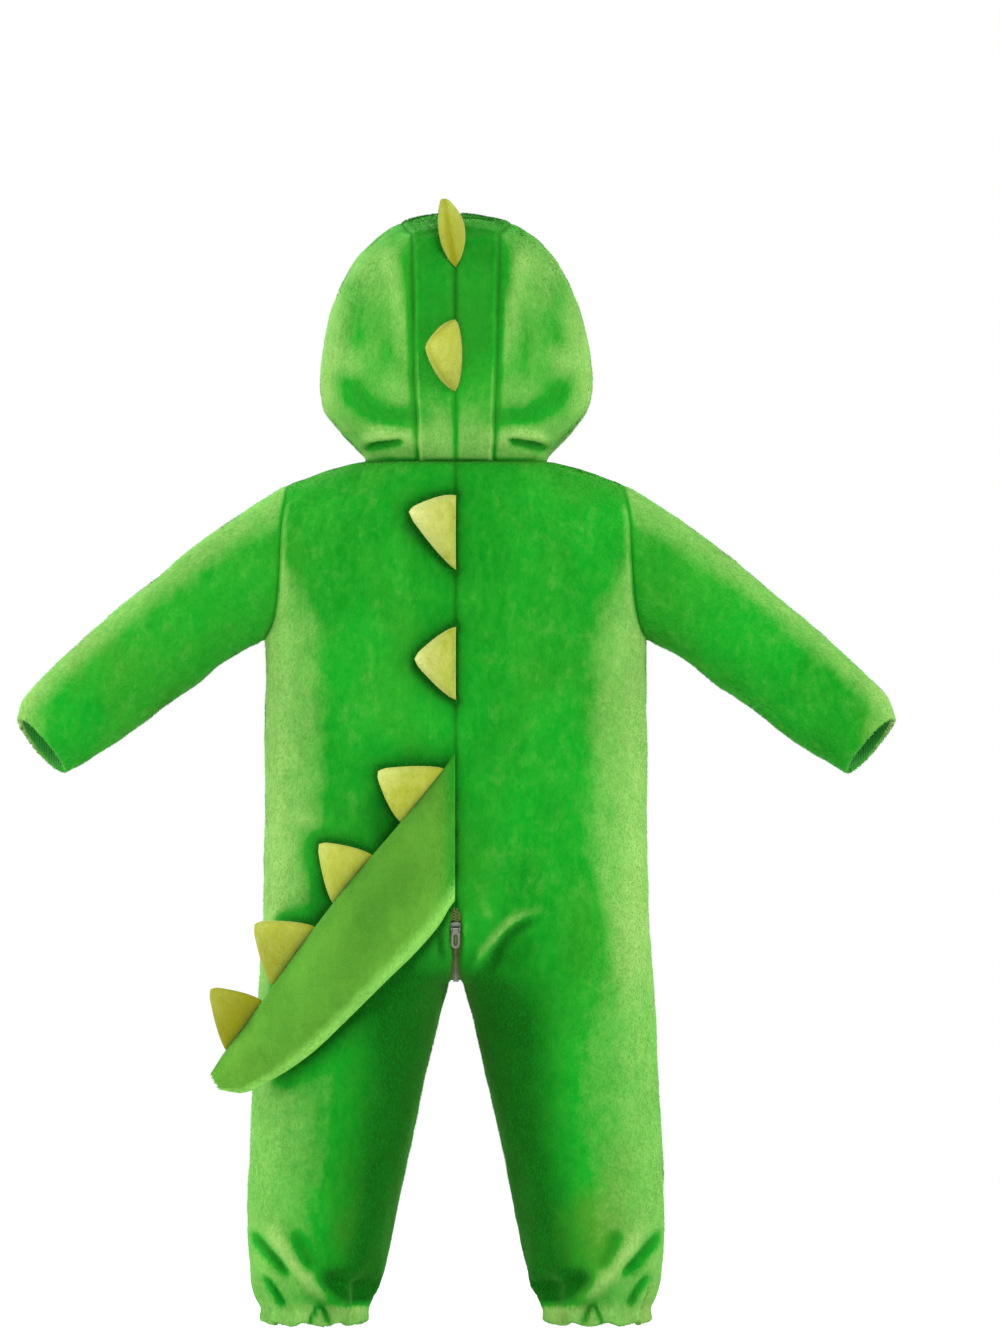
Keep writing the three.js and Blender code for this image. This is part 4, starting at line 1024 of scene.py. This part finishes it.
PLUSH_LOOK = plush("plush", PLUSH)
TAIL_LOOK = plush("tail_plush", TAIL_PLUSH)
SPINE_LOOK = plush("spine_plush", SPINE_PLUSH)
LINING = lining()
TAPE = woven_tape()
TEETH = tooth_plastic()
NICKEL = nickel()


# Panels
back_grid, front_grid = body_rows(1), body_rows(-1)
sleeve_grid = sleeve_rows(back_grid, front_grid)
hood_grid = hood_rows()
strip_grid, strip_seam, strip_out, strip_bulge = strip_rows(hood_grid)
HOOD_LINE = strip_seam * [0, 1, 1] + strip_out * strip_bulge[:, None]

BODY_SIDES = {"top": "seam", "bottom": "open", "left": "seam", "right": "seam"}
PANELS = [
    Sizes(name="back", grid=back_grid, out=(0, 1, 0), sides=BODY_SIDES, flat=(0.205, 0.70), pile=1),
    Sizes(name="front", grid=front_grid, out=(0, -1, 0), sides=BODY_SIDES, flat=(0.20, 0.66), pile=1),
    Sizes(name="sleeve", grid=sleeve_grid, out=None, sides={"top": "seam", "bottom": "open"},
          flat=(0.30, 0.21), pile=1),
    Sizes(name="hood_side", grid=hood_grid, out=(1, 0, 0), flat=(0.21, 0.21), pile=-1,
          sides={"top": "seam", "bottom": "seam", "left": "seam", "right": "open"}),
    Sizes(name="hood_strip", grid=strip_grid, out=(0, 1, 0.6), flat=(0.036, 0.36), pile=-1,
          sides={"top": "seam", "bottom": "open", "left": "seam", "right": "ridge"}),
]


def mirrored_panels():
    for base in PANELS:
        for side, sign in (("left", 1), ("right", -1)):
            grid = base.grid * [sign, 1, 1]
            closed = base.name == "sleeve"
            out = grid - grid.mean(axis=1, keepdims=True) if closed else np.array(base.out) * [sign, 1, 1]
            panel = Sizes(name=f"{base.name}_{side}", kind=base.name, grid=grid, closed=closed,
                          sides=base.sides, flat=base.flat, pile=base.pile, side=sign)
            panel.normals = grid_normals(grid, closed, out)
            yield panel


def lapped(panel):
    """The grid with its edges run on past their seams."""
    way = panel.grid - inward_neighbours(panel.grid, panel.closed)
    return panel.grid + unit(way) * LAP * (np.linalg.norm(way, axis=2, keepdims=True) > 1e-6)


def turned_shade(panel):
    """Painted light and shade: paler where the cloth turns aside, as the lamps at the sides would light it,
    and darker where it turns inwards and at the crotch, as the other leg would shade it.
    """
    out = panel.normals[..., 0] * panel.side
    up, z, x = panel.normals[..., 2], panel.grid[..., 2], np.abs(panel.grid[..., 0])
    if panel.kind == "sleeve":
        over = SLEEVE_TOP[0] * out + SLEEVE_TOP[1] * up
        # Painted light on the sleeve's upper side; the cuffs are paler too
        return 0.6 * PAINTED_SIDE_LIGHT * ramp(over, 0.38, 0.98) + 0.3 * ramp(x, 285, 315)
    if panel.kind == "hood_strip":
        return 0.4 * ramp(z, 56, 12) - 0.35 * ramp(z, 50, 90)
    if panel.kind == "hood_side":
        # Painted light where the hood's side turns aside or down
        return PAINTED_SIDE_LIGHT * np.maximum(1.1 * ramp(out, 0.34, 1.19), 0.45 * ramp(up, 0.025, -0.475))
    # Gathers turn every way, so they keep the shade of the row above them
    gathered_from = int(np.argmax(z[:, 0] < GATHERS.top))
    out[gathered_from:] = out[gathered_from]
    leg, hip = ramp(z, -330, -420), ramp(z, -290, -340)
    side = 0.4 * ramp(out - 0.12 * hip, 0.33, 0.53) + 0.56 * ramp(out, 0.5, 0.95)
    pale = mix(side, 0.54 * ramp(out, -0.3, 1), leg) * np.maximum(ramp(z, -25, -85), ramp(x, 92, 116))
    # Painted shade on the legs' inner sides and at the crotch
    crotch = np.exp(-(((z + 392) / 34) ** 2) - (x / 60) ** 2)
    dark = leg * ramp(out, 0.1, -0.6) + crotch
    arm_wide = 3.5 + 14 * ramp(z, -60, -120)
    by_arm = 0.5 * np.exp(-((side_distances(panel.grid)["right"] / arm_wide) ** 2))
    by_arm = by_arm * ramp(z, -22, -36) * (z > UNDERARM.z - 30)
    shade = np.maximum(PAINTED_SIDE_LIGHT * pale, by_arm) - 0.95 * np.minimum(dark, 1)
    return mix(shade, 0.4, ramp(z, -600, -609))


def laid_lines():
    """What lies on the back, as lines seen from behind along the tail and across the spines."""
    along = np.linspace(0.05, 1, 40)
    for across in np.linspace(-1, 1, 5):
        yield tail_place(along, across + 0 * along)[0][:, [0, 2]]
    for spine in SPINES:
        if spine.on != "hood":
            sheet = spine_sheets(spine)[0][..., [0, 2]]
            yield np.concatenate([sheet[:, 0], sheet[::-1, -1]])
            yield from sheet[2:-2:5]


def contact_shade(panel):
    """The painted shadow on the back's pile round the tail and the spines."""
    if panel.kind != "back":
        return 0
    seen = panel.grid[..., [0, 2]]
    near = np.min([to_line(seen, line)[0] for line in laid_lines()], axis=0)
    close_shadow = CONTACT.dark * np.exp(-((near / CONTACT.wide) ** 2))
    shade = close_shadow + CONTACT.far * np.exp(-((near / CONTACT.spread) ** 2))
    return shade * smooth((panel.grid[..., 1] - CONTACT.least_y) / CONTACT.blend)


def panel_relief(panel):
    """How far each point stands out of the model's form, its painted light and shade, and how near it is to a
    seam.
    """
    near, ridge = seam_profile(panel)
    offset = SEAM_RIDGE.high * ridge - SEAM_DIP.deep * near
    for lump in LUMPS:
        offset = offset + lump.high * waves(panel.grid, lump.size, lump.seed)
    folds = fold_offset(panel, FOLDS_BEHIND, 1) + fold_offset(panel, FOLDS_AHEAD, -1)
    # Painted light on the folds' ridges and painted shade in their troughs, along seams and round what lies
    # on the back
    shade = np.tanh(folds / SHADE.fold) * np.where(folds > 0, SHADE.stand, SHADE.sink)
    shade = shade - near**2 * SHADE.seam + turned_shade(panel) + SHADE.ridge * ridge - contact_shade(panel)
    shade = np.where(shade > 0, SHADE.palest * np.tanh(shade / SHADE.palest), shade)
    return offset + folds, shade, near


def build_panel(panel, seed):
    offset, shade, near = panel_relief(panel)
    outer = lapped(panel) + panel.normals * offset[..., None]
    inner = outer - panel.normals * WALL
    bulge = np.zeros(panel.grid.shape[:2])
    open_sides = [side for side, kind in panel.sides.items() if kind == "open"]
    for side in open_sides:
        bulge[EDGES[side]] = RIM.bulge
    points, faces, kinds, source = shell(outer, inner, panel.normals, panel.closed, bulge)
    made = make_object("plush_" + panel.name, points, faces, [PLUSH_LOOK[0], LINING], kinds)
    # Rims in seams show only in shade, so they get the darkest painted shade
    hidden = (np.arange(len(points)) >= shade.size) & (bulge.ravel()[source] == 0)
    set_attribute(made, "shade", np.where(hidden, -1, shade.ravel()[source]))
    normals = grid_normals(outer, panel.closed, panel.normals)
    lies = np.gradient(outer, axis=0) * panel.pile
    keep = 1 - SEAM_DIP.short * near
    rng = np.random.default_rng(seed)
    parts = [scattered(outer, normals, lies, keep, shade, FUR.thick, panel.closed, rng)]
    parts += [rim_places(outer, inner, side, panel.closed, rng) for side in open_sides]
    fur = make_fur("pile_" + panel.name, parts, FUR, PLUSH_LOOK[1], seed + 100)
    declare(made, "garment", "plush", panel.name)
    declare(fur, "garment", "plush")
    area = min(middle_area(outer, inner, panel.closed), math.prod(panel.flat))


def middle_area(outer, inner, closed):
    return cell_areas(closed_up((outer + inner) / 2, closed)).sum() * MM * MM


def rim_places(outer, inner, side, closed, rng):
    """Places round the rounded rim of an open side."""
    o, i, near = (grid[EDGES[side]] for grid in (outer, inner, inward_neighbours(outer, closed)))
    edge = unit(o - near)
    length = np.linalg.norm(np.diff(o, axis=0), axis=1)
    count = int(length.sum() * np.linalg.norm(o - i, axis=1).mean() * FUR.thick * RIM.denser)
    k = rng.choice(len(length), count, p=length / length.sum())
    t, turn = rng.random(count)[:, None], rng.uniform(0.1, 0.75, count)[:, None] * math.pi
    o, i, edge = (mix(part[k], part[k + 1], t) for part in (o, i, edge))
    out = unit(o - i)
    points = (o + i) / 2 + (o - i) / 2 * np.cos(turn) + edge * RIM.bulge * np.sin(turn)
    normals = unit(out * np.cos(turn) + edge * np.sin(turn))
    lies = unit(edge * np.cos(turn) - out * np.sin(turn))
    return points, normals, lies, np.full(count, RIM.keep), np.full(count, RIM.shade)


def build_panels():
    panels = list(mirrored_panels())
    share_seams(panels)
    for seed, panel in enumerate(panels):
        build_panel(panel, seed)


# Stuffed pieces
# A stuffed piece's rim, how wide its seam is, how much darker and shorter the pile is there, and the least
# thickness, in lengths of the pile, at which the pile has its full length
STUFFED = Sizes(rim=0.5, seam=2.2, seam_dark=0.4, seam_short=0.45, thick=2.5)
SPINE_MIDDLE = (10, 14)  # a point well inside a spine's grid


def build_stuffed(name, outer, inner, normals, shade, look, nodes):
    """A stuffed piece of two sheets sewn together, with pile on both. look holds its two materials, the
    pile's sizes, its slot and the seed."""
    (ground, pile), fur_sizes, slot, seed = look
    points, faces, _, source = shell(outer, inner, normals, False, np.full(outer.shape[:2], STUFFED.rim))
    made = make_object("plush_" + name, points, faces, [ground])
    away = side_distances(outer)
    near = np.exp(-((np.minimum(away["left"], away["right"]) / STUFFED.seam) ** 2))
    shade = shade - STUFFED.seam_dark * near
    set_attribute(made, "shade", shade.ravel()[source])
    rng = np.random.default_rng(seed)
    thick = np.clip(np.linalg.norm(outer - inner, axis=2) / (STUFFED.thick * fur_sizes.long), 0.1, 1)
    keep = (1 - STUFFED.seam_short * near) * thick
    lies = np.gradient(outer, axis=0)
    parts = [scattered(grid, grid_normals(grid, False, way), lies, keep, shade, fur_sizes.thick, False, rng)
             for grid, way in ((outer, normals), (inner, -normals))]
    fur = make_fur("pile_" + name, parts, fur_sizes, pile, seed + 200)
    declare(made, "garment", slot, *nodes)
    declare(fur, "garment", slot)


def build_tail():
    along = (np.linspace(0, 1, TAIL_SHAPE.rows) ** TAIL_SHAPE.crowd)[:, None]
    across = -np.cos(math.pi * np.linspace(0, 1, TAIL_SHAPE.columns))[None]
    points, half = tail_place(*np.broadcast_arrays(along, across))
    way = np.array([0, 1.0, 0])
    lumps = TAIL_SHAPE.lumps * waves(points, TAIL_SHAPE.lump_size, 21) * np.minimum(half / TAIL_SHAPE.full, 1)
    outer = points + way * (half + lumps)[..., None]
    inner = points - way * half[..., None]
    # Painted shade along the upper edge, where the spines sit, and in the middle, and painted light along the
    # lower rim
    middle_shade = 0.5 * np.exp(-(((across - 0.15) / 0.75) ** 2) - ((along - 0.42) / 0.36) ** 2)
    dark = 0.3 * ramp(across, 0.6, 1) - 0.85 * ramp(across, -0.6, -0.95) + middle_shade
    build_stuffed("tail", outer, inner, grid_normals(outer, False, way), -dark, (TAIL_LOOK, FUR, "plush", 31),
                  ("tail_outer", "tail_inner"))


def build_spines():
    for number, spine in enumerate(SPINES):
        outer, inner = spine_sheets(spine)
        normals = grid_normals(outer, False, outer[SPINE_MIDDLE] - inner[SPINE_MIDDLE])
        # Painted shade at the base and painted light towards the tip, offset by each spine's own tone
        to_tip = mix(-SPINE_SHADE, SPINE_SHADE, np.linspace(0, 1, len(outer)))[:, None]
        shade = to_tip + np.full(outer.shape[:2], spine.tone)
        look = SPINE_LOOK, SPINE_FUR, "spine_plush", 41 + number
        build_stuffed(spine.name, outer, inner, normals, shade, look, (spine.name,))


# Zip
TOOTH = Sizes(pitch=2.1, long=1.15, high=1.3, sunk=0.1, from_x=-0.55, to_x=1.9, narrow=0.72, from_end=2)
TOOTH_FACES = np.array([[0, 1, 3, 2], [4, 6, 7, 5], [0, 4, 5, 1], [2, 3, 7, 6], [0, 2, 6, 4], [1, 5, 7, 3]])
TAPE_COLUMNS = 4


def zip_line():
    """The zip's line up the front from the crotch's far side, with the way out of the cloth."""
    front, back = front_grid[:, 0], back_grid[:, 0]
    up = back[(back[:, 2] > CROTCH_Z + 0.01) & (back[:, 2] < ZIP.back_top - 1)][::-1]
    line = np.concatenate([front[front[:, 2] > CROTCH_Z + 0.01], [[ZIP.half, 0, CROTCH_Z]], up])
    edge = line[:, 0]
    line = line * [0, 1, 1]
    way = unit(np.gradient(line, axis=0))
    return line, np.stack([0 * way[:, 0], way[:, 2], -way[:, 1]], -1), edge


def build_zip():
    line, out, edge = zip_line()
    lengths = lengths_along(line)
    level = line - out * ZIP.sunk
    for side, sign in (("left", 1), ("right", -1)):
        xs = np.stack([np.full(len(line), ZIP.centre), edge + ZIP.tuck], 1)
        outer = np.stack([xs * sign, level[:, 1:2] + 0 * xs, level[:, 2:] + 0 * xs], -1)
        outer = mix(outer[:, :1], outer[:, 1:], np.linspace(0, 1, TAPE_COLUMNS)[None, :, None])
        inner = outer - out[:, None] * ZIP.tape
        points, faces, _, _ = shell(outer, inner, np.repeat(out[:, None], TAPE_COLUMNS, axis=1))
        tape = make_object(f"zip_tape_cloth_{side}", points, faces, [TAPE])
        declare(tape, "garment", "zip_tape", f"zip_tape_{side}")
        middle_area(outer, inner, False)
    corners, faces = [], []
    places = np.arange(TOOTH.from_end, lengths[-1] - TOOTH.from_end, TOOTH.pitch / 2)
    for number, place in enumerate(places):
        sign = 1 if number % 2 else -1
        centre = np.array([np.interp(place, lengths, level[:, k]) for k in range(3)])
        up = unit(np.array([np.interp(place, lengths, out[:, k]) for k in range(3)]))
        along = np.cross([1, 0, 0], up)
        for x, narrow in ((TOOTH.from_x, TOOTH.narrow), (TOOTH.to_x, 1)):
            for step in (-0.5, 0.5):
                foot = centre + np.array([sign * x, 0, 0]) + along * step * TOOTH.long * narrow
                corners += [foot - up * TOOTH.sunk, foot + up * TOOTH.high * narrow]
        faces.append((TOOTH_FACES if sign > 0 else TOOTH_FACES[:, ::-1]) + 8 * number)
    teeth = make_object("zip_teeth", np.array(corners), np.concatenate(faces), [TEETH], smooth_faces=False)
    declare(teeth, "garment", "zip_tape")


METAL = Sizes(weld=0.00002, flat=math.radians(3), soft=0.0003, steps=2, sharp=math.radians(40))


def build_metal():
    """The sliders and pulls in the model's own form, with softened edges."""
    bodies = {"zip_slider_front": "garment", "zip_slider_back": "garment",
              "zip_pull_front": "pull_front", "zip_pull_back": "pull_back"}
    for node, body in bodies.items():
        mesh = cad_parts[node].data.copy()
        mesh.materials.clear()
        mesh.materials.append(NICKEL)
        made = link(node.replace("zip_", "zip_nickel_"), mesh)
        made.modifiers.new("weld", "WELD").merge_threshold = METAL.weld
        flat = made.modifiers.new("flat", "DECIMATE")
        flat.decimate_type, flat.angle_limit = "DISSOLVE", METAL.flat
        soft = made.modifiers.new("soft", "BEVEL")
        soft.width, soft.segments = METAL.soft, METAL.steps
        soft.limit_method, soft.angle_limit = "ANGLE", METAL.sharp
        shown = made.evaluated_get(bpy.context.evaluated_depsgraph_get())
        made.data = bpy.data.meshes.new_from_object(shown)
        made.modifiers.clear()
        declare(made, body, "zip_metal", node)


# Stage
BACKGROUND = 1.0
FLOOR_Z = -641
FLOOR_REACH = 40  # metres from the middle to each side
FLOOR_FADE = (1.1, 3.2)  # metres from the middle over which the floor turns into the background


def build_stage():
    paint = Paint("floor_pale")
    away = paint.add("VectorMath", {0: paint.own_place()}, "Value", operation="LENGTH")
    glow = paint.add("Emission", {"Color": (1, 1, 1, 1), "Strength": BACKGROUND})
    paint.finish({"Base Color": (0.9, 0.9, 0.9, 1), "Roughness": 1, "Specular IOR Level": 0})
    join = paint.add("MixShader", {0: paint.between(away, *FLOOR_FADE), 1: paint.bsdf.outputs[0], 2: glow})
    paint.feed(paint.tree.nodes["Material Output"], {"Surface": join})
    corners = np.array([[-1, -1, 0], [1, -1, 0], [1, 1, 0], [-1, 1, 0]]) * FLOOR_REACH / MM
    floor = make_object("floor", corners + [0, 0, FLOOR_Z], np.array([[0, 1, 2, 3]]), [paint.material])
    floor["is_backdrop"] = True
    world = bpy.data.worlds.new("studio")
    world.use_nodes = True
    world.node_tree.nodes["Background"].inputs["Color"].default_value = (1, 1, 1, 1)
    world.node_tree.nodes["Background"].inputs["Strength"].default_value = BACKGROUND
    bpy.context.scene.world = world
    bpy.context.scene.view_settings.view_transform = "Standard"


LIGHTS_AIM = (0, 0, -0.25)
LIGHTS = [
    Sizes(name="key_behind", at=(-1.0, 2.9, 1.7), size=0.9, power=64),
    Sizes(name="key_ahead", at=(1.0, -2.9, 1.7), size=0.9, power=64),
    Sizes(name="side_left", at=(2.3, 0.1, 0.3), size=1.6, power=30),
    Sizes(name="side_right", at=(-2.3, -0.1, 0.3), size=1.6, power=13),
]


def build_lights():
    for light in LIGHTS:
        data = bpy.data.lights.new(light.name, "AREA")
        data.energy, data.size = light.power, light.size
        made = link(light.name, data)
        made.location = light.at
        from_middle = (np.array(light.at) - np.array(LIGHTS_AIM)).tolist()
        made.rotation_euler = Vector(from_middle).to_track_quat("Z", "Y").to_euler()


def build_camera():
    data = bpy.data.cameras.new("camera")
    data.sensor_width = CAMERA.sensor
    data.lens = CAMERA.sensor * CAMERA.y / CAMERA.frame_height
    camera = link("camera", data)
    camera.location = (CAMERA.x * MM, CAMERA.y * MM, CAMERA.z * MM)
    camera.rotation_euler = (QUARTER, 0, math.pi)
    bpy.context.scene.camera = camera


build_camera()
build_panels()
build_tail()
build_spines()
build_zip()
build_metal()
build_stage()
build_lights()

boxes = {"cad": cad_box, "visual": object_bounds()}
plain = {name: [list(corner) for corner in box] for name, box in boxes.items()}
